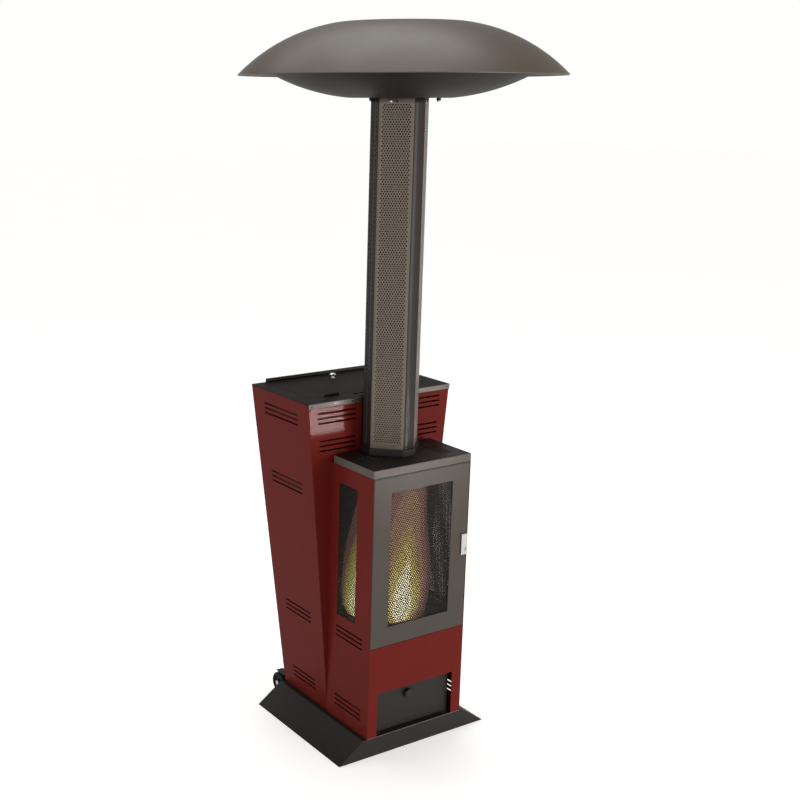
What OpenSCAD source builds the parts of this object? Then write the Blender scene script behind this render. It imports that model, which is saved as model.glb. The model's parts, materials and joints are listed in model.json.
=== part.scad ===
// Free-standing pellet patio heater: a trapezoid plinth carries a glazed burner cabinet,
// a tapered pellet hopper behind it and an octagonal guarded flue with a mushroom hat.
// Origin: the flue's axis on the floor. +X is the right hand of someone facing the door,
// +Y points to the back (hopper side) and +Z is up.

/* [Plinth] */
// Width of the plinth at the floor
base_w = 590; // [520:1:700]
// Width of the plinth at its top
base_top_w = 408; // [400:1:470]
// Depth of the plinth
base_d = 480; // [470:1:560]
// Height of the plinth
base_h = 64; // [50:1:90]
// Sheet of the plinth
base_sheet = 3; // [2:0.5:5]
// Thickness of the ballast plate inside the plinth
ballast_t = 12; // [8:1:25]

/* [Burner cabinet] */
// Width over the side panels
stove_w = 380; // [370:1:396]
// Depth from the front face to the hopper's front face
stove_d = 222; // [215:1:240]
// Height from the plinth to the cap's underside
cabinet_h = 862; // [800:1:900]
// Height of the lower front panel
lower_panel_h = 306; // [300:1:330]
// Sheet of the cabinet and the hopper panels
sheet = 2; // [1.5:0.25:3]
// Height of the cap on the cabinet
cap_h = 25; // [20:1:40]
// Depth of the cap from the front face
cap_d = 206; // [200:1:210]
// Plate thickness of the cap
cap_sheet = 4; // [3:0.5:6]
// Width of the folded flanges
flange_w = 15; // [10:1:20]
// Height of the chamber floor above the plinth
floor_rise = 336; // [330:1:340]

/* [Door] */
// Clear gap round the door
door_gap = 1.5; // [1.3:0.1:2]
// Depth of the door's shell
door_d = 22; // [20:1:24]
// Front skin of the door
door_skin = 3; // [2.5:0.5:3.5]
// Edge sheet of the door
door_edge = 2; // [1.5:0.5:3]
// Width of the front window
window_w = 240; // [180:1:260]
// Height of the front window
window_h = 438; // [380:1:450]
// Window's lower edge above the door's lower edge
window_sill = 62; // [52:1:66]
// Pane thickness
glass_t = 4; // [3:0.5:5]
// Lap of screens and panes behind a window's edge
glass_lap = 12; // [10:1:15]
// Hinge axis from the door's left edge
hinge_in = 8; // [7:0.5:9]
// Hinge axis behind the door's face
hinge_back = 4.5; // [4.2:0.1:4.8]
// Radius of the door's hinge pins
hinge_r = 2.5; // [2:0.25:2.6]
// Depth of the rope seal behind the door
rope_t = 7.7; // [7:0.1:8]

/* [Latch] */
// Width of the handle plate
handle_w = 24; // [20:1:26]
// Height of the handle plate
handle_h = 69; // [60:1:80]
// Thickness of the handle plate
handle_t = 5; // [4:0.5:7]
// Centre of the handle above the door's lower edge
handle_up = 281; // [200:1:380]
// Distance from the door's right edge to the spindle
spindle_in = 15; // [13:0.5:15.5]
// Radius of the handle's spindle
spindle_r = 4; // [3:0.5:4.5]

/* [Side windows] */
// Width of a side window
side_window_w = 96; // [80:1:100]
// Height of a side window
side_window_h = 440; // [380:1:448]
// Side windows' lower edge below the front window's
side_window_drop = 3; // [0:1:8]
// Front edge of a side window behind the cabinet's face
side_window_in = 79; // [74:1:90]

/* [Louvres] */
// Height of one louvre slot
slot_h = 5; // [4:0.5:6]
// Pitch of the slots in a group
slot_pitch = 16; // [12:1:20]
// Slots in a group
slot_count = 3; // [2:1:4]
// Length of the cabinet's side slots
slot_len = 140; // [100:1:150]
// Front end of the cabinet's side slots
slot_in = 38; // [34:1:44]
// Middle of the lower slot group above the plinth
slot_low = 68; // [50:1:90]
// Middle of the upper slot group above the plinth
slot_high = 310; // [280:1:312]
// Distance of the hopper's side slots from the panel's edges
slot_margin = 66; // [60:1:80]
// Outermost cap slot from the cap's side
cap_slot_edge = 48; // [40:1:50]
// Front end of the cap slots
cap_slot_in = 40; // [30:1:50]
// Length of the cap slots
cap_slot_l = 100; // [80:1:120]

/* [Ash drawer] */
// Width of the ash opening
ash_w = 304; // [280:1:320]
// Height of the ash opening
ash_h = 149; // [124:1:154]
// Set-back of the drawer front from the cabinet's face
drawer_in = 18; // [15:1:24]
// Height of the tray's walls
tray_h = 66; // [50:1:90]
// Depth of the tray
tray_d = 188; // [160:1:192]
// Diameter of the drawer knob
drawer_knob_d = 30; // [24:1:34]
// Length of the drawer knob
drawer_knob_l = 14; // [12:1:20]

/* [Burner] */
// Width of the burn pot
pot_w = 120; // [100:1:130]
// Depth of the burn pot from front to back
pot_l = 100; // [90:1:104]
// Height of the burn pot
pot_h = 60; // [50:1:70]
// Wall of the burn pot
pot_wall = 5; // [4:0.5:8]
// Centre of the burn pot in front of the flue's axis
pot_front = 64; // [60:1:66]
// Width of the pellet chute
chute_w = 90; // [70:1:100]

/* [Hopper] */
// Width of the hopper's foot
hopper_foot_w = 372; // [360:1:376]
// Width of the hopper's top
hopper_top_w = 560; // [540:1:600]
// Height of the hopper above the plinth
hopper_h = 1056; // [1040:1:1130]
// Set-back of the hopper's foot from the plinth's rear edge
hopper_foot_in = 2; // [1:1:10]
// Rearward overhang of the hopper's top over its foot
hopper_lean = 74; // [64:1:89]
// Plate of the hopper's deck
deck_sheet = 3; // [2.5:0.5:4]
// Height of the deck's front trim
trim_h = 17; // [14:1:24]
// Space between the guard and the flue channel in the hopper's front
channel_gap = 9; // [7:0.5:12]
// Space between the hopper's shell and the pellet bin
bin_gap = 12; // [8:1:14]
// Sheet of the pellet bin
bin_sheet = 1.5; // [1:0.25:2]
// Width of the lid
lid_w = 452; // [400:1:456]
// Depth of the lid
lid_d = 230; // [220:1:234]
// Height of the rail along the deck's rear edge
rail_h = 12.5; // [10:0.5:20]
// Length of the rear rail
rail_l = 456; // [400:1:500]

/* [Flue and guard] */
// Distance from the cabinet's face to the flue's axis
column_back = 170; // [168:1:172]
// Outer diameter of the flue pipe
flue_d = 100; // [80:1:104]
// Wall of the flue pipe
flue_wall = 1.5; // [1:0.25:2.5]
// Guard across its flats
guard_across = 186; // [180:1:190]
// Width of the guard's narrow faces
guard_narrow = 40; // [36:1:44]
// Sheet of the guard
guard_sheet = 1.5; // [1:0.25:2]
// Height of the guard above the cap
guard_h = 1082; // [1000:1:1150]
// Height of the collar at the guard's foot
collar_h = 22; // [16:1:30]
// Pitch of the guard's holes
hole_pitch = 36; // [34:1:44]
// Width of a guard hole
hole_w = 24; // [18:1:26]

/* [Hat] */
// Diameter of the hat's brim
hat_d = 966; // [900:1:1000]
// Height of the dome above its brim
dome_h = 147; // [130:1:180]
// Brim's height above the guard's top
brim_rise = 66; // [60:1:75]
// Diameter of the dome's flat top
dome_flat_d = 390; // [340:1:420]
// Outward swell of the dome's side
dome_swell = 26; // [15:1:35]
// Sheet of the hat
hat_sheet = 1.5; // [1:0.25:2.5]
// Depth of the rolled lip at the brim
lip_h = 2; // [1:0.5:6]
// Diameter of the bowl's flat bottom
bowl_flat_d = 298; // [285:1:320]
// Diameter of the bowl's rim
bowl_d = 808; // [740:1:820]
// Height of the bowl from its bottom to its rim
bowl_h = 80; // [70:1:90]
// Distance from the axis to the hat's three studs
stud_out = 119; // [110:1:130]
// Radius of the hat's studs
stud_r = 4; // [3:0.5:5]

/* [Wheels] */
// Diameter of a transport wheel
wheel_d = 72; // [60:1:74]
// Width of a transport wheel
wheel_w = 22; // [18:1:26]
// Distance from the middle to a wheel's centre plane
wheel_x = 180; // [170:1:184]
// Wheel axis behind the plinth
wheel_back = 38; // [37.5:0.5:44]
// Clear height of the wheels above the floor
wheel_lift = 1.5; // [1:0.5:5]
// Radius of the wheel bolts
wheel_bolt_r = 4; // [3:0.5:5]

/* [Net] */
// Pitch of the window screens' gaps
net_pitch = 28; // [26:1:34]
// Bar width of the window screens
net_bar = 3; // [2:0.5:5]
// Thickness of the window screens
net_t = 1; // [0.6:0.2:1.5]

/* [Hidden] */

// Clearances and the overrun of cuts
cut = 1;
seam = 0.2;
rest_gap = 0.3;
run_gap = 0.05;

// Levels
y_front = -column_back;
y_hop = y_front + stove_d;
z_roof = base_h + cabinet_h;
z_cap = z_roof + cap_h;
z_guard = z_cap + guard_h;
z_floor = base_h + floor_rise;
half = stove_w / 2;
inner = half - sheet;

// Door
door_half = inner - door_gap;
door_z0 = base_h + lower_panel_h + door_gap;
door_z1 = z_roof - sheet - door_gap;
door_back = y_front + door_d;
window_z0 = door_z0 + window_sill;
hinge_x = -door_half + hinge_in;
hinge_y = y_front + hinge_back;
hinge_block = 16;
hinge_reach = 12;
hinge_head = 4;
head_t = 3;
gasket_t = 1.8;
gasket_w = 9;
screen_y = y_front + door_skin;
gasket_y = screen_y + net_t;
glass_y = gasket_y + gasket_t;
clip_y = glass_y + glass_t + rest_gap;
clip_t = 1.5;
clip_w = 18;
clip_reach = 7;
rope_w = 8;
rope_in = 26;
frame_y = door_back + rope_t + rest_gap + sheet;
frame_in = 36;
clip_foot = 14;

// Latch
handle_x = door_half - handle_w / 2;
handle_z = door_z0 + handle_up;
latch_x = door_half - spindle_in;
latch_z = handle_z + handle_h / 4;
keeper_w = 8;
keeper_h = 40;
keeper_t = 1.5;
keeper_y = door_back + rest_gap;
tongue_y = keeper_y + keeper_t + rest_gap;
tongue_t = 2.2;
tongue_w = 9;
tongue_l = door_half - latch_x;
notch_w = 5;
notch_h = 12;

// Side windows
side_win_y0 = y_front + side_window_in;
side_win_z0 = window_z0 - side_window_drop;
side_screen_x = inner - net_t;
side_glass_x = side_screen_x - rest_gap - glass_t;

// Louvre levels, as shares of the hopper's height
hop_slot_shares = [0.063, 0.295, 0.722, 0.939];
front_slot_shares = [0.867, 0.952];
slot_web = 21;
front_slot_margin = 34;

// Ash drawer
runner_h = 5;
runner_w = 18;
drawer_z0 = base_h + runner_h + rest_gap;
drawer_side = 2.5;
drawer_half = ash_w / 2 - drawer_side;
drawer_y = y_front + drawer_in;
drawer_drop = 7;
drawer_top = base_h + ash_h - drawer_drop;
tray_in = 3.5;
tray_half = drawer_half - tray_in;
knob_drop = 28;
knob_side = 20;
guide_in = 49;
guide_t = 1.5;
knob_round = 2;

// Burner
pot_y = -pot_front;
pot_rim = 10;
pot_rim_t = 4;
pot_flare = 8;
pot_top = z_floor + sheet + pot_rim_t;
grate_t = 4;
chute_sheet = 1.5;
chute_drop = 100;
chute_h = 90;
chute_end = pot_y + pot_l / 2;
chute_slack = 3;
outlet_z = pot_top + rest_gap + chute_drop;
baffle_half = 120;
baffle_drop = 44;
baffle_front = 20;
baffle_back = 4;

// Hopper
foot_half = hopper_foot_w / 2;
top_half = hopper_top_w / 2;
hopper_foot_d = base_d - stove_d - hopper_foot_in;
hopper_top_d = hopper_foot_d + hopper_lean;
hopper_top = base_h + hopper_h;
panel_top = hopper_top - deck_sheet;
bin_back_gap = 6;
funnel_rise = 234;
throat_half = 60;
throat_l = 30;
lid_in = 8;
lid_t = deck_sheet - rest_gap;
lid_gap = 1.5;
ledge_w = 12;
ledge_t = 3;
lid_hinge_in = 4;
lid_hinge_up = 4;
lid_hinge_z = hopper_top + lid_hinge_up;
lid_pin_r = 1.75;
knuckle_r = 3.5;
knuckle_l = 18;
knuckle_gap = 0.4;
knuckle_step = knuckle_l + knuckle_gap;
lid_hinge_x = 150;
leaf_t = 1.2;
leaf_w = 16;
lid_knob_d = 24;
lid_knob_h = 16;
lid_knob_in = 30;
rail_t = 6;
rail_in = 2;
rail_gap = 3;
rail_foot = 12;

// Flue
flue_r = flue_d / 2;
spigot_wall = 1.5;
cap_hole_gap = 8;
flue_over = 17;
spigot_h = 20;
spigot_flange = 12;
flue_top = z_guard + flue_over;
guard_a = guard_across / 2;
guard_c = guard_narrow / 2;
guard_diag = (guard_a + guard_c) / sqrt(2);
guard_wide = (guard_a - guard_c) * sqrt(2);
border_low = 41;
border_top = 14;
border_side = 7;
collar_wall = 4;
corner_angles = [45, 135, 225, 315];
stud_turn = 99;
stud_step = 120;
head_r = 4;
head_h = 2;
head_drop = 9;
channel_w = 2 * (guard_a + guard_c - y_hop + channel_gap * sqrt(2));
channel_back = guard_a + channel_gap;
bin_front = channel_back + sheet + bin_back_gap;
funnel_z = outlet_z + funnel_rise;
lid_y0 = bin_front + lid_in;
lid_hinge_y = lid_y0 - lid_hinge_in;

// Hat
hat_r = hat_d / 2;
brim_z = z_guard + brim_rise;
dome_r = dome_flat_d / 2;
bowl_r = bowl_d / 2;
bowl_flat_r = bowl_flat_d / 2;
bowl_swell = 15;
nut_r = 7;
nut_h = 8;

// Wheels
wheel_r = wheel_d / 2;
wheel_y = y_front + base_d + wheel_back;
wheel_z = wheel_r + wheel_lift;
cheek_t = 2.5;
cheek_gap = 1;
crown_gap = 10.5;
bracket_top = wheel_z + wheel_r + crown_gap;
bracket_low = wheel_z - wheel_r / 2;
tyre_round = 3.5;

// Sizes along the tapered hopper
function hop_half(z) = foot_half + (top_half - foot_half) * (z - base_h) / hopper_h;
function hop_rear(z) =
    y_hop + hopper_foot_d + hopper_lean * (z - base_h) / hopper_h;
function side_run(t) = t * norm([top_half - foot_half, hopper_h]) / hopper_h;
function rear_run(t) = t * norm([hopper_lean, hopper_h]) / hopper_h;

// Points of a circular arc from a to b that swells by s to the right of its way
function arc_points(a, b, s, n) =
    let (m = (a + b) / 2, d = b - a, len = norm(d), nrm = [d.y, -d.x] / len)
    let (r = (len * len / 4 + s * s) / (2 * s), c = m + nrm * (s - r))
    let (a0 = atan2(a.y - c.y, a.x - c.x), a1 = atan2(b.y - c.y, b.x - c.x))
    [for (i = [0:n]) c + r * [cos(a0 + (a1 - a0) * i / n), sin(a0 + (a1 - a0) * i / n)]];

function flip(points) = [for (i = [len(points) - 1:-1:0]) points[i]];

// Extrudes a profile drawn in X and Z along Y
module along_y(y0, y1)
    translate([0, y1, 0]) rotate([90, 0, 0]) linear_extrude(y1 - y0) children();

// Extrudes a profile drawn in Y and Z along X
module along_x(x0, x1)
    translate([x0, 0, 0]) rotate([90, 0, 90]) linear_extrude(x1 - x0) children();

module box(x0, x1, y0, y1, z0, z1)
    translate([x0, y0, z0]) cube([x1 - x0, y1 - y0, z1 - z0]);

// A box centred on X = 0
module span(hw, y0, y1, z0, z1) box(-hw, hw, y0, y1, z0, z1);

module rod_x(x0, x1, y, z, r)
    translate([x0, y, z]) rotate([0, 90, 0]) cylinder(r = r, h = x1 - x0, $fn = 32);

module rod_y(y0, y1, x, z, r)
    translate([x, y1, z]) rotate([90, 0, 0]) cylinder(r = r, h = y1 - y0, $fn = 32);

module rod_z(z0, z1, x, y, r)
    translate([x, y, z0]) cylinder(r = r, h = z1 - z0, $fn = 32);

// Trapezoid centred on X, from z0 to z1
module trapezoid(w0, w1, z0, z1)
    polygon([[-w0 / 2, z0], [w0 / 2, z0], [w1 / 2, z1], [-w1 / 2, z1]]);

// A net of square gaps in a w by h sheet drawn from its middle
module net(w, h) {
    nx = floor((w - net_bar) / net_pitch);
    nz = floor((h - net_bar) / net_pitch);
    gap = net_pitch - net_bar;
    difference() {
        square([w, h], center = true);
        for (i = [0:nx - 1], k = [0:nz - 1])
            translate([(i - (nx - 1) / 2) * net_pitch, (k - (nz - 1) / 2) * net_pitch])
                square(gap, center = true);
    }
}

// Steps of a slot group from its middle
slot_steps = [for (i = [0:slot_count - 1]) (i - (slot_count - 1) / 2) * slot_pitch];

// A group of louvre slots round the level z, cut from x0 to x1
module slots_x(x0, x1, y0, y1, z)
    for (d = slot_steps) box(x0, x1, y0, y1, z + d - slot_h / 2, z + d + slot_h / 2);

// A slot's cut that runs along Y round the place x
module slot_y(x, y0, y1, z0, z1) box(x - slot_h / 2, x + slot_h / 2, y0, y1, z0, z1);

// Plinth
base_run = (base_w - base_top_w) / 2;
base_side = base_sheet * norm([base_run, base_h]) / base_h;

module base_shell() color("#2d2a28")
    difference() {
        along_y(y_front, y_front + base_d) trapezoid(base_w, base_top_w, 0, base_h);
        along_y(y_front + base_sheet, y_front + base_d - base_sheet)
            polygon([for (s = [-1, 1], k = [0, 1])
                let (z = (s < 0) == (k == 0) ? -cut : base_h - base_sheet)
                [s * (base_w / 2 - base_run * z / base_h - base_side), z]]);
    }

module ballast_plate() color("#3a3836")
    along_y(y_front + base_sheet + rest_gap, y_front + base_d - base_sheet - rest_gap)
        trapezoid(base_w - 2 * (base_side + rest_gap),
                  base_w - 2 * (base_side + rest_gap + base_run * ballast_t / base_h),
                  0, ballast_t);

// Burner cabinet
module side_panel(s) color("#572222")
    difference() {
        union() {
            box(min(s * half, s * inner), max(s * half, s * inner), y_front, y_hop, base_h, z_roof);
            box(min(s * inner, s * (inner - flange_w)), max(s * inner, s * (inner - flange_w)),
                y_front + flange_w, y_hop - sheet, base_h, base_h + sheet);
        }
        box(-half - cut, half + cut, side_win_y0, side_win_y0 + side_window_w,
            side_win_z0, side_win_z0 + side_window_h);
        for (z = [slot_low, slot_high])
            slots_x(-half - cut, half + cut, y_front + slot_in, y_front + slot_in + slot_len,
                    base_h + z);
    }

module side_panel_left() side_panel(-1);
module side_panel_right() side_panel(1);

panel_z1 = base_h + lower_panel_h;

module lower_front_panel() color("#752623")
    difference() {
        union() {
            span(inner, y_front, y_front + sheet, base_h, panel_z1);
            span(inner, y_front, frame_y, panel_z1 - sheet, panel_z1);
            for (s = [-1, 1])
                box(min(s * inner, s * (inner - sheet)), max(s * inner, s * (inner - sheet)),
                    y_front, y_front + flange_w, base_h + sheet, panel_z1);
        }
        span(ash_w / 2, y_front - cut, y_front + sheet + cut,
             base_h - cut, base_h + ash_h);
        rod_z(panel_z1 - sheet - cut, panel_z1 + cut, hinge_x, hinge_y, hinge_r + run_gap);
    }

module stove_back() color("#2f2c2a")
    difference() {
        span(inner, y_hop - sheet, y_hop, base_h, z_roof - sheet);
        chute_hole(y_hop - sheet);
    }

// The chute's passage through an upright sheet at y
module chute_hole(y) {
    z_low = chute_z(y + sheet / 2);
    span(chute_w / 2 + chute_slack, y - cut, y + sheet + cut,
         z_low - chute_slack, z_low + chute_h + chute_slack);
}

// Lower edge of the chute at depth y
function chute_z(y) = outlet_z - chute_drop * (bin_front - y) / (bin_front - chute_end);

module chamber_floor() color("#2f2c2a")
    difference() {
        span(inner, frame_y, y_hop - sheet, z_floor, z_floor + sheet);
        span(pot_w / 2 + run_gap, pot_y - pot_l / 2 - run_gap, pot_y + pot_l / 2 + run_gap,
             z_floor - cut, z_floor + sheet + cut);
    }

module chamber_roof() color("#2f2c2a")
    difference() {
        span(inner, y_front, y_hop, z_roof - sheet, z_roof);
        rod_z(z_roof - sheet - cut, z_roof + cut, 0, 0, flue_r - 2 * flue_wall);
        rod_z(z_roof - sheet - cut, z_roof + cut, hinge_x, hinge_y, hinge_r + run_gap);
    }

module fire_frame() color("#2f2c2a")
    difference() {
        span(inner, frame_y - sheet, frame_y, panel_z1, z_roof - sheet);
        span(door_half - frame_in, frame_y - sheet - cut, frame_y + cut,
             door_z0 + frame_in, door_z1 - frame_in);
    }

module cap() color("#2d2a28")
    difference() {
        span(half, y_front, y_front + cap_d, z_roof, z_cap);
        span(half - cap_sheet, y_front + cap_sheet, y_front + cap_d - cap_sheet,
             z_roof - cut, z_cap - cap_sheet);
        rod_z(z_roof - cut, z_cap + cut, 0, 0, flue_r + cap_hole_gap);
        rod_z(z_roof - cut, z_roof + spigot_wall + rest_gap, 0, 0,
              flue_r + spigot_wall + spigot_flange + rest_gap);
        for (s = [-1, 1], i = [0:slot_count - 1])
            slot_y(s * (half - cap_slot_edge - i * slot_pitch), y_front + cap_slot_in,
                   y_front + cap_slot_in + cap_slot_l, z_roof, z_cap + cut);
    }

// Side windows
module side_net(s) color("#8a8580")
    along_x(s > 0 ? side_screen_x : -inner, s > 0 ? inner : -side_screen_x)
        translate([side_win_y0 + side_window_w / 2, side_win_z0 + side_window_h / 2])
            net(side_window_w + 2 * glass_lap, side_window_h + 2 * glass_lap);

module side_screen_left() side_net(-1);
module side_screen_right() side_net(1);

module side_pane(s) color([0.6, 0.65, 0.65, 0.35])
    box(s > 0 ? side_glass_x : -side_glass_x - glass_t, s > 0 ? side_glass_x + glass_t : -side_glass_x,
        side_win_y0 - glass_lap, side_win_y0 + side_window_w + glass_lap,
        side_win_z0 - glass_lap, side_win_z0 + side_window_h + glass_lap);

module side_glass_left() side_pane(-1);
module side_glass_right() side_pane(1);

// Z-shaped clips hold each side pane by its upper and lower edge
module side_glass_clips() color("#777470")
    for (s = [-1, 1], e = [0, 1])
        mirror([s > 0 ? 1 : 0, 0, 0])
            translate([-inner, side_win_y0 + side_window_w / 2,
                       side_win_z0 + side_window_h / 2])
                mirror([0, 0, e]) side_clip();

module side_clip() {
    edge = side_window_h / 2 + glass_lap + rest_gap;
    depth = inner - side_glass_x + rest_gap;
    along_y(-clip_w, clip_w)
        polygon([[0, edge], [depth, edge], [depth, edge - clip_reach],
                 [depth + clip_t, edge - clip_reach], [depth + clip_t, edge + clip_t],
                 [clip_t, edge + clip_t], [clip_t, edge + flange_w], [0, edge + flange_w]]);
}

// Burner
module burn_pot() color("#3b3733")
    difference() {
        union() {
            span(pot_w / 2 - run_gap, pot_y - pot_l / 2 + run_gap, pot_y + pot_l / 2 - run_gap,
                 pot_top - pot_h, pot_top);
            span(pot_w / 2 + pot_rim, pot_y - pot_l / 2 - pot_rim, pot_y + pot_l / 2 + pot_rim / 2,
                 z_floor + sheet, pot_top);
        }
        intersection() {
            along_y(pot_y - pot_l, pot_y + pot_l)
                trapezoid(pot_w - 2 * (pot_wall + pot_flare), pot_w - 2 * pot_wall,
                          pot_top - pot_h + pot_wall, pot_top + cut);
            along_x(-pot_w, pot_w) translate([pot_y, 0])
                trapezoid(pot_l - 2 * (pot_wall + pot_flare), pot_l - 2 * pot_wall,
                          pot_top - pot_h + pot_wall, pot_top + cut);
        }
        for (i = [-2:2])
            slot_y(i * slot_pitch, pot_y - pot_l / 4, pot_y + pot_l / 4,
                   pot_top - pot_h - cut, pot_top - pot_h + pot_wall + cut);
    }

// Loose grate in the pot's bottom
module burn_grate() color("#4a4642") {
    z0 = pot_top - pot_h + pot_wall;
    hw = pot_w / 2 - pot_wall - pot_flare - rest_gap;
    hl = pot_l / 2 - pot_wall - pot_flare - rest_gap;
    difference() {
        span(hw, pot_y - hl, pot_y + hl, z0, z0 + grate_t);
        for (i = [-2:2])
            slot_y(i * slot_pitch, pot_y - pot_l / 4, pot_y + pot_l / 4, z0 - cut, z0 + grate_t + cut);
    }
}

// Sloping feed from the bin's outlet to the pot's rear edge
module pellet_chute() color("#6f6b66")
    difference() {
        along_x(-chute_w / 2, chute_w / 2) chute_profile(0, 0);
        along_x(-chute_w / 2 + chute_sheet, chute_w / 2 - chute_sheet) chute_profile(2 * chute_sheet, cut);
    }

module chute_profile(in, over) {
    y0 = chute_end - over;
    y1 = bin_front + over;
    polygon([[y0, chute_z(y0) + in], [y1, chute_z(y1) + in],
             [y1, chute_z(y1) + chute_h - in], [y0, chute_z(y0) + chute_h - in]]);
}

// Bent plate that hangs from the chamber roof and spreads the flame
module flame_baffle() color("#4a4642") {
    z0 = z_roof - sheet - baffle_drop;
    span(baffle_half, frame_y + baffle_front, -baffle_back, z0, z0 + sheet);
    for (s = [-1, 1])
        box(min(s * baffle_half, s * (baffle_half - sheet)), max(s * baffle_half, s * (baffle_half - sheet)),
            frame_y + baffle_front, -baffle_back, z0 + sheet, z_roof - sheet);
}

// Flat runners on the plinth carry the ash drawer
// Runners under the tray, each with an upright guide beside the drawer
module drawer_runners() color("#55524f")
    for (s = [-1, 1]) mirror([s < 0 ? 1 : 0, 0, 0]) {
        guide_y = y_front + guide_in;
        box(tray_half - runner_w, tray_half, y_front + flange_w, y_hop - sheet,
            base_h, base_h + runner_h);
        box(tray_half - runner_w, ash_w / 2 + guide_t, guide_y, y_hop - sheet,
            base_h, base_h + runner_h);
        box(ash_w / 2, ash_w / 2 + guide_t, guide_y, y_hop - sheet, base_h, drawer_top);
    }

module latch_keeper() color("#8a8580")
    box(inner - keeper_w, inner, keeper_y, keeper_y + keeper_t,
        latch_z - keeper_h / 2, latch_z + keeper_h / 2);

module door_hinge_pins() color("#9a9590") {
    rod_z(panel_z1 - sheet, door_z0 + hinge_reach, hinge_x, hinge_y, hinge_r);
    rod_z(panel_z1 - sheet - head_t, panel_z1 - sheet, hinge_x, hinge_y + hinge_head, hinge_head);
    rod_z(door_z1 - hinge_reach, z_roof, hinge_x, hinge_y, hinge_r);
    rod_z(z_roof, z_roof + head_t, hinge_x, hinge_y + hinge_head, hinge_head);
}

// Door
module door_frame() color("#6b645f")
    difference() {
        union() {
            difference() {
                span(door_half, y_front, door_back, door_z0, door_z1);
                span(door_half - door_edge, y_front + door_skin, door_back + cut,
                     door_z0 + door_edge, door_z1 - door_edge);
            }
            for (z = [door_z0, door_z1 - hinge_block])
                box(-door_half, -door_half + hinge_block, y_front, y_front + hinge_block,
                    z, z + hinge_block);
        }
        span(window_w / 2, y_front - cut, y_front + door_skin + cut,
             window_z0, window_z0 + window_h);
        rod_z(door_z0 - cut, door_z0 + hinge_reach + rest_gap, hinge_x, hinge_y, hinge_r + run_gap);
        rod_z(door_z1 - hinge_reach - rest_gap, door_z1 + cut, hinge_x, hinge_y, hinge_r + run_gap);
        rod_y(y_front - cut, y_front + door_skin + cut, latch_x, latch_z, spindle_r + run_gap);
    }

module window_back(y0, y1, lap)
    span(window_w / 2 + lap, y0, y1, window_z0 - lap, window_z0 + window_h + lap);

module door_screen() color("#8a8580")
    along_y(screen_y, screen_y + net_t)
        translate([0, window_z0 + window_h / 2])
            net(window_w + 2 * glass_lap, window_h + 2 * glass_lap);

module door_gasket() color("#262422")
    difference() {
        window_back(gasket_y, glass_y, glass_lap);
        window_back(gasket_y - cut, glass_y + cut, glass_lap - gasket_w);
    }

module door_glass() color([0.6, 0.65, 0.65, 0.35])
    window_back(glass_y, glass_y + glass_t, glass_lap);

// Z-shaped clips, two on each long side of the pane
module door_glass_clips() color("#777470")
    for (s = [-1, 1], z = [window_z0 + window_h / 5, window_z0 + window_h * 4 / 5])
        translate([0, 0, z]) mirror([s > 0 ? 1 : 0, 0, 0]) door_clip();

module door_clip() {
    edge = -window_w / 2 - glass_lap - rest_gap;
    translate([0, 0, -clip_w / 2]) linear_extrude(clip_w)
        polygon([[edge - clip_foot, screen_y], [edge, screen_y], [edge, clip_y],
                 [edge + clip_reach, clip_y], [edge + clip_reach, clip_y + clip_t],
                 [edge - clip_t, clip_y + clip_t], [edge - clip_t, screen_y + clip_t],
                 [edge - clip_foot, screen_y + clip_t]]);
}

module door_rope() color("#3f3c39")
    difference() {
        span(door_half - rope_in, door_back, door_back + rope_t, door_z0 + rope_in, door_z1 - rope_in);
        span(door_half - rope_in - rope_w, door_back - cut, door_back + rope_t + cut,
             door_z0 + rope_in + rope_w, door_z1 - rope_in - rope_w);
    }

// Latch: plate, spindle and tongue turn together, and a quarter turn puts the tongue
// behind the keeper
module latch_handle() color("#d8d8d6") {
    y0 = y_front - rest_gap - handle_t;
    difference() {
        box(handle_x - handle_w / 2, handle_x + handle_w / 2, y0, y0 + handle_t,
            handle_z - handle_h / 2, handle_z + handle_h / 2);
        box(handle_x + handle_w / 2 - 2 * notch_w, handle_x + handle_w / 2 - notch_w,
            y0 - cut, y0 + handle_t / 2, handle_z - handle_h / 3, handle_z - handle_h / 3 + notch_h);
    }
    rod_y(y0 + handle_t, tongue_y, latch_x, latch_z, spindle_r);
}

module latch_tongue() color("#8a8580")
    box(latch_x - tongue_w / 2, latch_x + tongue_w / 2, tongue_y, tongue_y + tongue_t,
        latch_z - tongue_w / 2, latch_z + tongue_l);

// Ash drawer
module ash_tray() color("#3a3733")
    difference() {
        span(tray_half, drawer_y + sheet, drawer_y + tray_d, drawer_z0, drawer_z0 + tray_h);
        span(tray_half - sheet, drawer_y + 2 * sheet, drawer_y + tray_d - sheet,
             drawer_z0 + sheet, drawer_z0 + tray_h + cut);
    }

module drawer_front() color("#302826")
    span(drawer_half, drawer_y, drawer_y + sheet, drawer_z0, drawer_top);

module drawer_knob() color("#26211d")
    translate([-knob_side, drawer_y, drawer_top - knob_drop]) rotate([90, 0, 0])
        rotate_extrude($fn = 48) {
            r = drawer_knob_d / 2;
            polygon([[0, 0], [r * 2 / 3, 0], [r * 2 / 3, drawer_knob_l / 4], [r, drawer_knob_l / 3],
                     [r, drawer_knob_l - knob_round], [r - knob_round, drawer_knob_l],
                     [0, drawer_knob_l]]);
        }

// Hopper shell: XZ and YZ outlines of its slanted sheets
module hop_front_view(in, z0, z1)
    trapezoid(2 * (hop_half(z0) - in), 2 * (hop_half(z1) - in), z0, z1);

module hop_side_view(y0, in, z0, z1)
    polygon([[y0, z0], [hop_rear(z0) - in, z0], [hop_rear(z1) - in, z1], [y0, z1]]);

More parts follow.
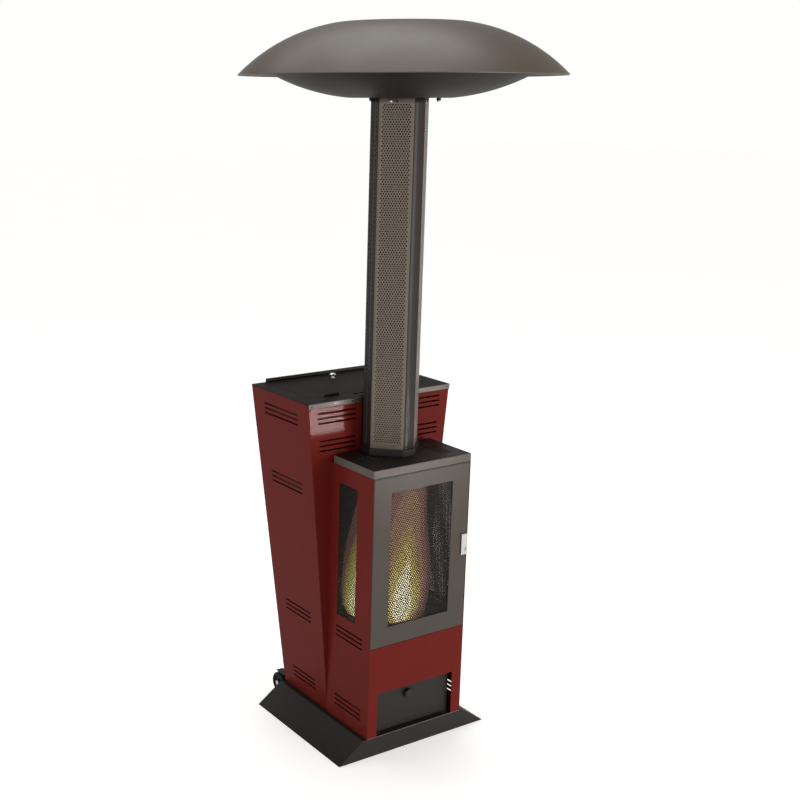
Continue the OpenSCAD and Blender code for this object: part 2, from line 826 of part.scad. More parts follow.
module hopper_front() color("#752623")
    difference() {
        along_y(y_hop, y_hop + sheet) hop_front_view(side_run(sheet) + seam, base_h, panel_top);
        chute_hole(y_hop);
        span(channel_w / 2, y_hop - cut, y_hop + sheet + cut, z_cap, panel_top + cut);
        for (s = [-1, 1], k = front_slot_shares) {
            z = base_h + hopper_h * k;
            x1 = hop_half(z) - front_slot_margin;
            x0 = channel_w / 2 + slot_web;
            slots_x(min(s * x0, s * x1), max(s * x0, s * x1), y_hop - cut, y_hop + sheet + cut, z);
        }
    }

module hopper_side(s) color("#572222") {
    run = side_run(sheet);
    difference() {
        intersection() {
            along_y(y_hop, y_hop + hopper_top_d)
                polygon([[s * hop_half(base_h), base_h], [s * hop_half(panel_top), panel_top],
                         [s * (hop_half(panel_top) - run), panel_top], [s * (hop_half(base_h) - run), base_h]]);
            along_x(-top_half - cut, top_half + cut)
                hop_side_view(y_hop, rear_run(sheet) + seam, base_h, panel_top);
        }
        for (k = hop_slot_shares) {
            z = base_h + hopper_h * k;
            x0 = hop_half(z) - flange_w;
            slots_x(s > 0 ? x0 : -top_half - cut, s > 0 ? top_half + cut : -x0,
                    y_hop + slot_margin, hop_rear(z) - slot_margin, z);
        }
    }
}

module hopper_left() hopper_side(-1);
module hopper_right() hopper_side(1);

module hopper_rear() color("#572222")
    intersection() {
        along_x(-top_half - cut, top_half + cut)
            polygon([[hop_rear(base_h) - rear_run(sheet), base_h], [hop_rear(base_h), base_h],
                     [hop_rear(panel_top), panel_top], [hop_rear(panel_top) - rear_run(sheet), panel_top]]);
        along_y(y_hop, y_hop + 2 * hopper_top_d) hop_front_view(0, base_h, panel_top);
    }

// Recess for the back half of the guard: floor, back and two sides
module hopper_channel() color("#572222") {
    hw = channel_w / 2;
    for (s = [-1, 1])
        box(min(s * hw, s * (hw + sheet)), max(s * hw, s * (hw + sheet)),
            y_hop + sheet, channel_back, z_cap - sheet, panel_top);
    span(hw + sheet, channel_back, channel_back + sheet, z_cap - sheet, panel_top);
    span(hw, y_hop + sheet, channel_back, z_cap - sheet, z_cap);
}

// Pellet bin with a four-sided funnel, open at the top and at its outlet
module bin_form(in) {
    top = panel_top + (in > 0 ? cut : 0);
    g = bin_gap + in;
    low = outlet_z + in;
    intersection() {
        along_y(bin_front + in, 2 * hopper_top_d)
            polygon([for (s = [-1, 1], k = s < 0 ? [0, 1, 2] : [2, 1, 0])
                k == 0 ? [s * (throat_half - in), low]
                : k == 1 ? [s * (hop_half(funnel_z) - side_run(sheet) - g), funnel_z]
                : [s * (hop_half(top) - side_run(sheet) - g), top]]);
        along_x(-top_half, top_half)
            polygon([[bin_front + in, low], [bin_front + throat_l - in, low],
                     [hop_rear(funnel_z) - rear_run(sheet) - g, funnel_z],
                     [hop_rear(top) - rear_run(sheet) - g, top], [bin_front + in, top]]);
    }
}

module hopper_bin() color("#8c8984")
    difference() {
        bin_form(0);
        bin_form(bin_sheet);
        along_x(-chute_w / 2 + chute_sheet, chute_w / 2 - chute_sheet)
            chute_profile(2 * chute_sheet, throat_l / 3);
    }

// Deck with the filling hole, the flue channel's notch and the front trim
module hopper_deck() color("#2d2a28") {
    x1 = lid_w / 2 + lid_gap;
    difference() {
        span(top_half, y_hop - deck_sheet, y_hop + hopper_top_d, panel_top, hopper_top);
        span(x1, lid_y0 - lid_gap, lid_y0 + lid_d + lid_gap, panel_top - cut, hopper_top + cut);
        span(channel_w / 2, y_hop - deck_sheet - cut, channel_back, panel_top - cut, hopper_top + cut);
    }
    difference() {
        along_y(y_hop - deck_sheet, y_hop) hop_front_view(0, hopper_top - trim_h, panel_top);
        span(channel_w / 2, y_hop - deck_sheet - cut, y_hop + cut,
             hopper_top - trim_h - cut, panel_top + cut);
    }
    for (s = [-1, 1], p = [-1, 1]) translate([s * lid_hinge_x + p * knuckle_step, 0, 0]) {
        knuckle();
        box(-knuckle_l / 2, knuckle_l / 2, lid_hinge_y - leaf_w / 2, lid_hinge_y + lid_pin_r,
            hopper_top, lid_hinge_z - lid_pin_r - run_gap);
    }
}

// A hinge barrel round the lid's axis
module knuckle()
    difference() {
        rod_x(-knuckle_l / 2, knuckle_l / 2, lid_hinge_y, lid_hinge_z, knuckle_r);
        rod_x(-knuckle_l / 2 - cut, knuckle_l / 2 + cut, lid_hinge_y, lid_hinge_z,
              lid_pin_r + run_gap);
    }

// Ledge under the deck that carries the closed lid
module lid_ledge() color("#2d2a28")
    difference() {
        span(lid_w / 2 + ledge_w / 2, lid_y0 - ledge_w / 3, lid_y0 + lid_d + ledge_w / 2,
             panel_top - ledge_t, panel_top);
        span(lid_w / 2 - ledge_w, lid_y0 + ledge_w, lid_y0 + lid_d - ledge_w,
             panel_top - ledge_t - cut, panel_top + cut);
    }

module lid_hinge_pins() color("#9a9590")
    for (s = [-1, 1])
        rod_x(s * lid_hinge_x - knuckle_step - knuckle_l / 2, s * lid_hinge_x + knuckle_step + knuckle_l / 2,
              lid_hinge_y, lid_hinge_z, lid_pin_r);

// A flat bar on two feet along the deck's rear edge
module rear_rail() color("#6f6a65") {
    y1 = y_hop + hopper_top_d - rail_in;
    span(rail_l / 2, y1 - rail_t, y1, hopper_top + rail_gap, hopper_top + rail_h);
    for (s = [-1, 1]) translate([s * (rail_l - rail_foot) / 2, 0, 0])
        span(rail_foot / 2, y1 - rail_t, y1, hopper_top, hopper_top + rail_gap);
}

module hopper_lid() color("#2d2a28") {
    span(lid_w / 2, lid_y0, lid_y0 + lid_d, hopper_top - lid_t, hopper_top);
    for (s = [-1, 1]) translate([s * lid_hinge_x, 0, 0]) {
        knuckle();
        box(-knuckle_l / 2, knuckle_l / 2, lid_y0, lid_y0 + leaf_w, hopper_top, hopper_top + leaf_t);
        box(-knuckle_l / 2, knuckle_l / 2, lid_hinge_y, lid_y0 + leaf_w,
            hopper_top + rest_gap, lid_hinge_z - lid_pin_r - run_gap);
    }
}

module lid_knob() color("#dcdcdc")
    translate([0, lid_y0 + lid_d - lid_knob_in, hopper_top])
        rotate_extrude($fn = 48) {
            r = lid_knob_d / 2;
            polygon(concat([[0, 0], [r * 0.6, 0], [r * 0.45, lid_knob_h * 0.3]],
                           arc_points([r * 0.7, lid_knob_h * 0.35], [r * 0.5, lid_knob_h], r * 0.3, 6),
                           [[0, lid_knob_h]]));
        }

// Flue
module flue_spigot() color("#3b3733")
    difference() {
        translate([0, 0, z_roof])
            rotate_extrude($fn = 64)
                polygon([[flue_r + run_gap, 0], [flue_r + spigot_wall + spigot_flange, 0],
                         [flue_r + spigot_wall + spigot_flange, spigot_wall],
                         [flue_r + spigot_wall, spigot_wall], [flue_r + spigot_wall, spigot_h],
                         [flue_r + run_gap, spigot_h]]);
        span(channel_w, y_hop - seam, y_hop + spigot_flange + cut, z_roof - cut, z_cap);
    }

module flue_pipe() color("#8d8a86")
    difference() {
        rod_z(z_roof, flue_top, 0, 0, flue_r);
        rod_z(z_roof - cut, flue_top + cut, 0, 0, flue_r - flue_wall);
    }

// Guard: an eight-sided tube in two halves, pierced by staggered rows of holes
function octagon(a, c) = [[-c, -a], [c, -a], [a, -c], [a, c], [c, a], [-c, a], [-a, c], [-a, -c]];

// The octagon at distance d outside the guard's faces
function guard_outline(d) = octagon(guard_a + d, guard_c + d * tan(22.5));

// The holes of a face w wide, drawn from its foot's middle
module face_holes(w) {
    row_pitch = hole_pitch * sqrt(3) / 2;
    rows = floor((guard_h - border_low - border_top - hole_w) / row_pitch);
    cols = floor((w - 2 * border_side - hole_w) / hole_pitch) + 1;
    for (k = [0:rows]) {
        n = cols - k % 2;
        for (i = [0:1:n - 1])
            translate([(i - (n - 1) / 2) * hole_pitch, border_low + hole_w / 2 + k * row_pitch])
                rotate(30) circle(r = hole_w / 2, $fn = 6);
    }
}

// Cuts those holes through the face that the angle turns to
module pierce(angle, a, w)
    rotate([0, 0, angle]) translate([0, guard_sheet + cut - a, z_cap]) rotate([90, 0, 0])
        linear_extrude(guard_sheet + 2 * cut) face_holes(w);

module guard_half(turn) color("#4a413c")
    rotate([0, 0, turn]) difference() {
        translate([0, 0, z_cap]) linear_extrude(guard_h) difference() {
            polygon(guard_outline(0));
            polygon(guard_outline(-guard_sheet));
            translate([-guard_a - cut, -seam]) square([guard_across + 2 * cut, guard_a + seam + cut]);
        }
        pierce(-45, guard_diag, guard_wide);
        pierce(45, guard_diag, guard_wide);
    }

module guard_front() guard_half(0);
module guard_rear() guard_half(180);

module guard_collar() color("#2b2724")
    translate([0, 0, z_cap]) linear_extrude(collar_h)
        difference() {
            polygon(guard_outline(rest_gap + collar_wall));
            polygon(guard_outline(rest_gap));
        }

// A round head at the top of each wide face
module guard_screws() color("#b8b4ae")
    for (t = corner_angles)
        rotate([0, 0, t]) rod_y(-guard_diag - head_h, -guard_diag, 0, z_guard - head_drop, head_r);

// Hat
module hat_bowl() color("#2b2521")
    difference() {
        rotate_extrude($fn = 96) {
            low = arc_points([bowl_flat_r, z_guard], [bowl_r, z_guard + bowl_h], bowl_swell, 8);
            up = [for (p = low) p + [0, hat_sheet]];
            polygon(concat([[flue_r + rest_gap, z_guard]], low, flip(up),
                           [[flue_r + rest_gap, z_guard + hat_sheet]]));
        }
        at_studs() rod_z(z_guard - cut, z_guard + hat_sheet + cut, 0, 0, stud_r + run_gap);
    }

// Where the three studs stand
module at_studs()
    for (k = [0:2]) rotate([0, 0, stud_turn + k * stud_step]) translate([stud_out, 0, 0]) children();

// Posts between bowl and dome with studs that reach down through the bowl
module hat_posts() color("#b8b4ae")
    at_studs() {
        rod_z(z_guard + hat_sheet, brim_z + dome_h - hat_sheet, 0, 0, 2 * stud_r);
        rod_z(z_guard - nut_h - stud_r, z_guard + hat_sheet, 0, 0, stud_r);
    }

module hat_nuts() color("#b8b4ae")
    at_studs() difference() {
        translate([0, 0, z_guard - nut_h]) cylinder(r = nut_r, h = nut_h, $fn = 6);
        rod_z(z_guard - nut_h - cut, z_guard + cut, 0, 0, stud_r + run_gap);
    }

module hat_dome() color("#3c3836")
    rotate_extrude($fn = 96) {
        out = arc_points([hat_r, brim_z], [dome_r, brim_z + dome_h], dome_swell, 12);
        in = arc_points([hat_r - hat_sheet, brim_z], [dome_r, brim_z + dome_h - hat_sheet], dome_swell, 12);
        polygon(concat([[0, brim_z + dome_h - hat_sheet]], flip(in), [[hat_r - hat_sheet, brim_z - lip_h],
                       [hat_r, brim_z - lip_h]], out, [[0, brim_z + dome_h]]));
    }

// Wheels: an inner cheek with a crown over the wheel, fixed to the plinth's rear face
module wheel_brackets() color("#2b2724")
    for (s = [-1, 1]) mirror([s < 0 ? 1 : 0, 0, 0]) {
        y0 = y_front + base_d;
        x0 = wheel_x - wheel_w / 2 - cheek_gap - cheek_t;
        difference() {
            union() {
                along_x(x0, x0 + cheek_t)
                    polygon([[y0, bracket_low], [wheel_y, bracket_low], [wheel_y + wheel_r / 2, wheel_z],
                             [wheel_y + wheel_r / 4, bracket_top], [y0, bracket_top]]);
                box(x0, wheel_x + wheel_w / 2, y0, wheel_y + wheel_r / 4, bracket_top - cheek_t, bracket_top);
                box(x0 - flange_w, x0, y0, y0 + cheek_t, bracket_low, base_h - cheek_t);
            }
            rod_x(x0 - cut, x0 + cheek_t + cut, wheel_y, wheel_z, wheel_bolt_r + run_gap);
        }
    }

module wheel_bolts() color("#c8c6c2")
    for (s = [-1, 1]) mirror([s < 0 ? 1 : 0, 0, 0]) {
        x0 = wheel_x - wheel_w / 2 - cheek_gap - cheek_t;
        x1 = wheel_x + wheel_w / 2 + rest_gap;
        rod_x(x0, x1, wheel_y, wheel_z, wheel_bolt_r);
        rod_x(x1, x1 + head_t, wheel_y, wheel_z, 2 * wheel_bolt_r);
        rod_x(x0 - head_t, x0, wheel_y, wheel_z, 2 * wheel_bolt_r);
    }

module wheel(s) color("#26231f")
    translate([s * wheel_x, wheel_y, wheel_z]) rotate([0, 90, 0])
        rotate_extrude($fn = 64) {
            hw = wheel_w / 2;
            polygon([[wheel_bolt_r + run_gap, -hw], [wheel_bolt_r * 3, -hw], [wheel_bolt_r * 3, -hw * 0.6],
                     [wheel_r * 0.72, -hw * 0.5], [wheel_r * 0.72, -hw], [wheel_r - tyre_round, -hw],
                     [wheel_r, -hw + tyre_round], [wheel_r, hw - tyre_round],
                     [wheel_r - tyre_round, hw], [wheel_r * 0.72, hw],
                     [wheel_r * 0.72, hw * 0.5], [wheel_bolt_r * 3, hw * 0.6], [wheel_bolt_r * 3, hw],
                     [wheel_bolt_r + run_gap, hw]]);
        }

module wheel_left() wheel(-1);
module wheel_right() wheel(1);

base_shell();
ballast_plate();
side_panel_left();
side_panel_right();
lower_front_panel();
stove_back();
chamber_floor();
chamber_roof();
fire_frame();
cap();
side_screen_left();
side_screen_right();
side_glass_left();
side_glass_right();
side_glass_clips();
burn_pot();
burn_grate();
pellet_chute();
flame_baffle();
drawer_runners();
latch_keeper();
door_hinge_pins();
door_frame();
door_screen();
door_gasket();
door_glass();
door_glass_clips();
door_rope();
latch_handle();
latch_tongue();
ash_tray();
drawer_front();
drawer_knob();
hopper_front();
hopper_left();
hopper_right();
hopper_rear();
hopper_channel();
hopper_bin();
hopper_deck();
lid_ledge();
lid_hinge_pins();
rear_rail();
hopper_lid();
lid_knob();
flue_spigot();
flue_pipe();
guard_front();
guard_rear();
guard_collar();
guard_screws();
hat_bowl();
hat_posts();
hat_nuts();
hat_dome();
wheel_brackets();
wheel_bolts();
wheel_left();
wheel_right();
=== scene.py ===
# %% [markdown]
# # A pellet patio heater, dressed
# The heater's frame comes from CAD: sheet-metal plinth, glazed burner cabinet, tapered
# pellet hopper, guarded flue and mushroom hat. This script adds what CAD left plain: paint,
# fine perforation, rounded folds, small screws, glass and fire. Everything is in metres, with
# the flue's axis at X = Y = 0 and the floor at Z = 0.

# %% Load the frame
import json
import math

import bmesh
import bpy
import numpy as np
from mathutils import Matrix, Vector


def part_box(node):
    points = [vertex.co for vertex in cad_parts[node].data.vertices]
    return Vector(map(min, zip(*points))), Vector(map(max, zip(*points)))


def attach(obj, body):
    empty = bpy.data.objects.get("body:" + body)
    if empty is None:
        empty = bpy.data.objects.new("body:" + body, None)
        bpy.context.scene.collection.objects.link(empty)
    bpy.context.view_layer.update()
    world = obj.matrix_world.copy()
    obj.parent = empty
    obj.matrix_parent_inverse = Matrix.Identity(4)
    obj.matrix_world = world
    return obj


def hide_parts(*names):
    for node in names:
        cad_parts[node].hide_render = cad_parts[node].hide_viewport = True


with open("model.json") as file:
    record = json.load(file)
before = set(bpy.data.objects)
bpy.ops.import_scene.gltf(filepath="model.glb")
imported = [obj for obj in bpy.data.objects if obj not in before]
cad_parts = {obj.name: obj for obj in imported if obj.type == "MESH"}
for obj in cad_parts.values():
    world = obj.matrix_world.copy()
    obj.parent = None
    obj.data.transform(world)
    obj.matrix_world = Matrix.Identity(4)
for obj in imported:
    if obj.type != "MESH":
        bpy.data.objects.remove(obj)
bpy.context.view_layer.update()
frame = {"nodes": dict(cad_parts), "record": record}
nodes = frame["nodes"]
MM = 0.001

# %% [markdown]
# ## The camera
# The camera was worked out by fitting straight edges of the plinth, cabinet and hat: it
# stands 2.04 m high, to the front left, tilted 14 degrees down. The heater sits left of the
# optical axis of a cropped picture, and a sideways lens shift stands for that crop.

# %% Set the camera
photo_px = 800  # side of the picture in pixels
axis_px = 241.53  # column of pixels that the lens's own axis passes through
tilt_down, heading = 0.24411, -0.54186  # radians
eye = bpy.data.cameras.new("photo_camera")
eye.sensor_width = 36
eye.lens = 54.89
eye.shift_x = (photo_px / 2 - axis_px) / photo_px
camera = bpy.data.objects.new("photo_camera", eye)
camera.location = (-2.3225, -2.9460, 2.0379)
camera.rotation_euler = (math.pi / 2 - tilt_down, 0, heading)
bpy.context.scene.collection.objects.link(camera)
bpy.context.scene.camera = camera
print("camera at", tuple(round(v, 3) for v in camera.location))

# %% [markdown]
# ## Shader arithmetic
# Painted steel looks like painted steel because its gloss and tone drift a little from
# place to place. Such patterns are sums and products of noise. Each sum could be a Math node
# placed by hand, but a small class that lets Python's own + and * add the nodes keeps a
# pattern readable as one line.

# %% Sockets as values
class Value:
    """One output of a shader node that takes part in Python arithmetic."""

    def __init__(self, wiring, socket):
        self.wiring, self.socket = wiring, socket

    def _math(self, operation, a, b):
        return self.wiring.node("Math", {"operation": operation}, {0: a, 1: b})

    def __add__(self, other):
        return self._math("ADD", self, other)

    def __mul__(self, other):
        return self._math("MULTIPLY", self, other)

    __radd__, __rmul__ = __add__, __mul__


print("values add and multiply")

# %% [markdown]
# ## Wiring nodes
# A material and the room's background are both trees of nodes with one shader at the end.
# One method makes any node from its type, its settings and its inputs, so that no node needs
# lines of its own, and feed joins a value to the shader.

# %% Trees of nodes
class Wiring:
    """A node tree under construction."""

    def __init__(self, owner, shader):
        owner.use_nodes = True
        self.tree = owner.node_tree
        self.shader = self.tree.nodes[shader]

    def node(self, kind, settings=None, inputs=None, out=0):
        """Makes a node, sets its settings and then its sockets, and returns one output."""
        made = self.tree.nodes.new("ShaderNode" + kind)
        for key, value in (settings or {}).items():
            if key == "stops":
                ramp = made.color_ramp
                while len(ramp.elements) < len(value):
                    ramp.elements.new(0.5)
                for element, (place, tone) in zip(ramp.elements, value):
                    element.position, element.color = place, (*tone, 1)
            else:
                setattr(made, key, value)
        for key, value in (inputs or {}).items():
            self.plug(made.inputs[key], value)
        return Value(self, made.outputs[out])

    def plug(self, socket, value):
        if isinstance(value, Value):
            self.tree.links.new(value.socket, socket)
        else:
            socket.default_value = value

    def feed(self, name, value):
        self.plug(self.shader.inputs[name], value)


print("wiring ready")

# %% [markdown]
# ## A finish
# Paint, iron, rope and fire all need the same few things: a colour and a roughness, noise
# that sticks to the piece, a colour mixed by that noise, and small bumps. They are methods of
# one class, so that each finish below is only what sets it apart.

# %% Materials under construction
class Finish(Wiring):
    """A material under construction: constants go straight onto its shader's sockets."""

    def __init__(self, name, colour, roughness, metallic=0.0, **sockets):
        self.material = bpy.data.materials.new(name)
        super().__init__(self.material, "Principled BSDF")
        self.material.diffuse_color = (*colour, 1)
        self.feed("Base Color", (*colour, 1))
        self.feed("Roughness", roughness)
        self.feed("Metallic", metallic)
        for key, value in sockets.items():
            self.feed(key.replace("_", " "), value)

    def noise(self, scale, detail=3.0, roughness=0.55, stretch=(1, 1, 1)):
        """Noise on object coordinates, from 0 to 1, finer as scale grows."""
        place = self.node("TexCoord", out="Object")
        spread = self.node("Mapping", {}, {"Vector": place, "Scale": stretch})
        return self.node("TexNoise", {}, {"Vector": spread, "Scale": scale,
                                          "Detail": detail, "Roughness": roughness})

    def tones(self, mask, dark, light):
        """A colour that runs from dark to light with the mask."""
        return self.node("Mix", {"data_type": "RGBA"},
                         {0: mask, 6: (*dark, 1), 7: (*light, 1)}, out=2)

    def relief(self, height, strength, depth):
        """Turns a height field into small bumps on the surface."""
        bumps = self.node("Bump", {}, {"Strength": strength, "Distance": depth,
                                       "Height": height})
        self.feed("Normal", bumps)


def shade(colour, factor):
    """The colour times a factor, kept below white."""
    return tuple(min(1.0, c * factor) for c in colour)


print("finishes ready")

# %% [markdown]
# ## Enamels and heat-proof paints
# The sheet-metal parts are sprayed. Seen close, spray paint has a faint orange peel, a slow
# drift in tone and a scatter of duller patches where hands and weather have been. The red is
# a satin enamel under a thin clear lacquer; the dark paints are heat-proof and flatter. One
# recipe with different numbers makes them all, so they look like one family.

# %% Paints
def sprayed(name, colour, gloss, sheen, peel=0.12, drift=0.12, coat=0.0):
    """Paint with orange peel (fine noise), tone drift (slow noise) and dulled patches.

    gloss is its roughness and sheen its specular level, where 0.5 is bare plastic. peel is
    the strength of the orange peel, drift the share by which the tone strays, and coat the
    weight of the clear lacquer on top. The roughness strays by 0.08 to either side.
    """
    paint = Finish(name, colour, gloss, Coat_Weight=coat, Coat_Roughness=0.19)
    paint.feed("Specular IOR Level", sheen)
    mask = paint.noise(3.2, 4.0) * 0.75 + paint.noise(420.0, 2.0) * 0.25
    paint.feed("Base Color",
               paint.tones(mask, shade(colour, 1 - drift), shade(colour, 1 + drift)))
    paint.feed("Roughness", paint.noise(9.0, 5.0) * 0.16 + (gloss - 0.08))
    paint.relief(paint.noise(260.0, 2.0), peel, 0.0006)
    return paint.material


red_enamel = sprayed("red_enamel", (0.098, 0.0096, 0.0072), 0.40, 0.02,
                     peel=0.04, drift=0.10, coat=0.05)
black_paint = sprayed("black_paint", (0.0150, 0.0115, 0.0100), 0.48, 0.16)
door_paint = sprayed("door_paint", (0.049, 0.0405, 0.033), 0.42, 0.12)
guard_paint = sprayed("guard_paint", (0.020, 0.0145, 0.0115), 0.38, 0.16)
# Painted light: the guard's broad faces are painted paler for the light they catch.
broad_face_painted_light = sprayed("broad_face_painted_light", (0.112, 0.090, 0.072), 0.40, 0.14)
hat_paint = sprayed("hat_paint", (0.066, 0.049, 0.034), 0.40, 0.34)
# Painted shade: the bowl under the hat is painted far darker than the dome, for the shade on the
# hat's underside that the pale floor would otherwise light.
bowl_painted_shade = sprayed("bowl_painted_shade", (0.0066, 0.0054, 0.0045), 0.55, 0.09)
screen_paint = sprayed("screen_paint", (0.0120, 0.0105, 0.0090), 0.50, 0.08, peel=0.05)
deck_paint = sprayed("deck_paint", (0.0115, 0.0080, 0.0062), 0.52, 0.05)
# Pale paint of the deck's trim strips, and of the painted highlight along the foot of the lower
# front panel.
trim_and_highlight_paint = sprayed("trim_and_highlight_paint", (0.150, 0.125, 0.110), 0.38, 0.25, peel=0.08)
rail_paint = sprayed("rail_paint", (0.050, 0.050, 0.044), 0.45, 0.12, peel=0.08)
# Painted light: the paler paint of the cap's upright skirts; its top keeps the dark paint as
# painted shade.
skirt_painted_light = sprayed("skirt_painted_light", (0.074, 0.062, 0.051), 0.42, 0.12)
print("paints ready")

# %% [markdown]
# ## Bare metals, seal and rubber
# Rolled and brushed steel carries scratches along one direction, so its noise is stretched.
# Cast iron is rough and matt all over. The seal is a woven rope, and fine slanting waves
# suggest its strands well enough behind the door's edge. The tyres and the drawer's knob are
# as even as paint, so the paint's recipe makes them too.

# %% Metals, rope, rubber and plastic
def worked_steel(name, colour, roughness, stretch):
    """Metal with a grain: noise stretched along the direction it was rolled or brushed in."""
    steel = Finish(name, colour, roughness, 1.0)
    grain = steel.noise(90.0, 4.0, 0.6, stretch)
    cloud = steel.noise(7.0, 3.0)
    steel.feed("Base Color", steel.tones(cloud, shade(colour, 0.82), shade(colour, 1.1)))
    steel.feed("Roughness", grain * 0.22 + (roughness - 0.1))
    steel.relief(grain, 0.2, 0.0003)
    return steel.material


def cast_metal(name, colour):
    """Rough cast iron: coarse and fine noise together, dull, a little rusty where high."""
    iron = Finish(name, colour, 0.75, 0.4)
    coarse = iron.noise(60.0, 6.0, 0.7)
    iron.feed("Base Color", iron.tones(coarse, shade(colour, 0.6), (0.09, 0.055, 0.035)))
    iron.relief(coarse + iron.noise(400.0, 2.0) * 0.4, 0.6, 0.001)
    return iron.material


def woven_seal(name, colour):
    """Glass-fibre seal: fine slanting waves, a little distorted, in tone and in relief."""
    seal = Finish(name, colour, 0.95)
    place = seal.node("TexCoord", out="Object")
    warp = seal.node("TexWave", {"bands_direction": "DIAGONAL"},
                     {"Vector": place, "Scale": 160.0, "Distortion": 1.0})
    seal.feed("Base Color", seal.tones(warp, shade(colour, 0.55), shade(colour, 1.6)))
    seal.relief(warp, 0.7, 0.001)
    return seal.material


zinc_steel = worked_steel("zinc_steel", (0.42, 0.41, 0.40), 0.42, (1, 1, 0.15))
heated_steel = worked_steel("heated_steel", (0.024, 0.021, 0.0185), 0.5, (1, 1, 0.3))
brushed_handle = worked_steel("brushed_handle", (0.38, 0.375, 0.365), 0.38, (1, 1, 0.06))
raw_iron = cast_metal("raw_iron", (0.05, 0.045, 0.042))
rope_seal = woven_seal("rope_seal", (0.05, 0.046, 0.042))

chrome = Finish("polished_chrome", (0.82, 0.82, 0.83), 0.08, 1.0)
chrome.feed("Roughness", chrome.noise(25.0, 4.0) * 0.08 + 0.04)
tyre_rubber = sprayed("tyre_rubber", (0.010, 0.009, 0.0085), 0.75, 0.2, peel=0.35)
knob_plastic = sprayed("knob_plastic", (0.008, 0.007, 0.0065), 0.40, 0.25)
print("metals ready")

# %% [markdown]
# ## Glass
# Ceramic fire glass is clear with a faint smoke film. Thin transparent glass renders calmly
# and lets the fire's light through, so the pane is mostly see-through with a glossy skin, and
# the film's cloudiness varies over the pane.

# %% Fire glass
pane = Finish("fire_glass", (0.02, 0.018, 0.016), 0.06)
film = pane.noise(5.0, 4.0)
pane.feed("Alpha", film * 0.16 + 0.22)
pane.feed("Base Color", pane.tones(film, (0.010, 0.009, 0.008), (0.04, 0.035, 0.03)))
pane.feed("Specular IOR Level", 0.25)
fire_glass = pane.material
print("glass ready")

# %% [markdown]
# ## Who wears what
# Every CAD node gets its finish from a table of the heater's own pieces. Pieces that a
# rounded or finely pierced version replaces later still get one, so that nothing is ever bare.

# %% Dress the CAD nodes
wardrobe = {
    red_enamel: ["side_panel_left", "side_panel_right", "lower_front_panel", "hopper_front",
                 "hopper_left", "hopper_right", "hopper_rear", "hopper_channel"],
    black_paint: ["base_shell", "stove_back", "chamber_floor", "chamber_roof", "fire_frame",
                  "cap", "ash_tray", "drawer_front", "lid_ledge",
                  "guard_collar", "wheel_brackets", "drawer_runners"],
    deck_paint: ["hopper_deck", "hopper_lid"],
    door_paint: ["door_frame"],
    guard_paint: ["guard_front", "guard_rear"],
    hat_paint: ["hat_dome"],
    bowl_painted_shade: ["hat_bowl"],
    rail_paint: ["rear_rail"],
    zinc_steel: ["side_glass_clips", "wheel_bolts", "latch_keeper", "door_hinge_pins",
                 "door_glass_clips", "latch_tongue", "lid_hinge_pins",
                 "pellet_chute", "hat_posts"],
    heated_steel: ["side_screen_left", "side_screen_right", "door_screen", "flame_baffle",
                   "flue_pipe", "guard_screws", "hopper_bin", "hat_nuts"],
    brushed_handle: ["latch_handle"],
    raw_iron: ["ballast_plate", "burn_pot", "burn_grate", "flue_spigot"],
    rope_seal: ["door_gasket", "door_rope"],
    chrome.material: ["lid_knob"],
    tyre_rubber: ["wheel_left", "wheel_right"],
    knob_plastic: ["drawer_knob"],
    fire_glass: ["side_glass_left", "side_glass_right", "door_glass"],
}
for finish, names in wardrobe.items():
    for name in names:
        nodes[name].data.materials.clear()
        nodes[name].data.materials.append(finish)
bare = sorted(set(nodes) - {n for names in wardrobe.values() for n in names})
print("nodes without a finish:", bare)

# %% [markdown]
# ## Folded edges
# A press brake leaves a rounded fold, and that small radius is what catches a line of light
# along every edge. CAD's edges are sharp, so the visible sheets are copied, their loose
# triangles are welded into flat faces, and a Bevel modifier rounds each edge by the radius
# that the table gives in millimetres. The cap's top keeps a dark paint and its upright skirts
# get a paler one by the way each face points: painted shade on the top under the hat, and
# painted light on the skirts.

# %% Round the folds of the sheet-metal pieces
WELD = 1e-6  # corners nearer than this are one corner
FOLD = math.radians(30)  # an edge that turns by more than this is a fold
body_of_node = {n: b for b, members in frame["record"]["behaviour"]["bodies"].items()
                for n in members}


def rounded(node, radius):
    """A copy of a CAD node with welded faces and every fold rounded in two steps."""
    welded = bmesh.new()
    welded.from_mesh(nodes[node].data)
    bmesh.ops.remove_doubles(welded, verts=welded.verts, dist=WELD)
    bmesh.ops.dissolve_limit(welded, angle_limit=math.radians(0.5), verts=welded.verts,
                             edges=welded.edges)
    mesh = bpy.data.meshes.new(node + "_rounded")
    welded.to_mesh(mesh)
    welded.free()
    piece = bpy.data.objects.new(node + "_rounded", mesh)
    bpy.context.scene.collection.objects.link(piece)
    mesh.materials.append(nodes[node].data.materials[0])
    bevel = piece.modifiers.new("fold", "BEVEL")
    bevel.width, bevel.segments = radius * MM, 2
    bevel.limit_method, bevel.angle_limit = "ANGLE", FOLD
    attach(piece, body_of_node[node])
    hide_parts(node)
    return piece


folds = {"base_shell": 2.4, "side_panel_left": 0.7, "side_panel_right": 0.7,
         "lower_front_panel": 0.7, "door_frame": 0.9, "cap": 1.4, "hopper_front": 0.6,
         "hopper_left": 0.7, "hopper_right": 0.7, "hopper_rear": 0.7, "hopper_deck": 1.0,
         "hopper_lid": 0.8, "drawer_front": 0.6, "latch_handle": 0.8, "guard_collar": 1.0,
         "rear_rail": 1.6, "wheel_brackets": 0.7, "burn_pot": 1.0}
for name, radius in folds.items():
    piece = rounded(name, radius)
    # Painted light and shade: the cap's upright faces get the paler paint, faces that point up
    # keep the dark one.
    if name == "cap":
        piece.data.materials.append(skirt_painted_light)
        for face in piece.data.polygons:
            face.material_index = int(abs(face.normal.z) < 0.5)
print("rounded:", len(folds), "pieces")

# %% [markdown]
# ## From arrays to an object
# Everything that this script adds is a surface worked out as arrays of points and of corner
# numbers.

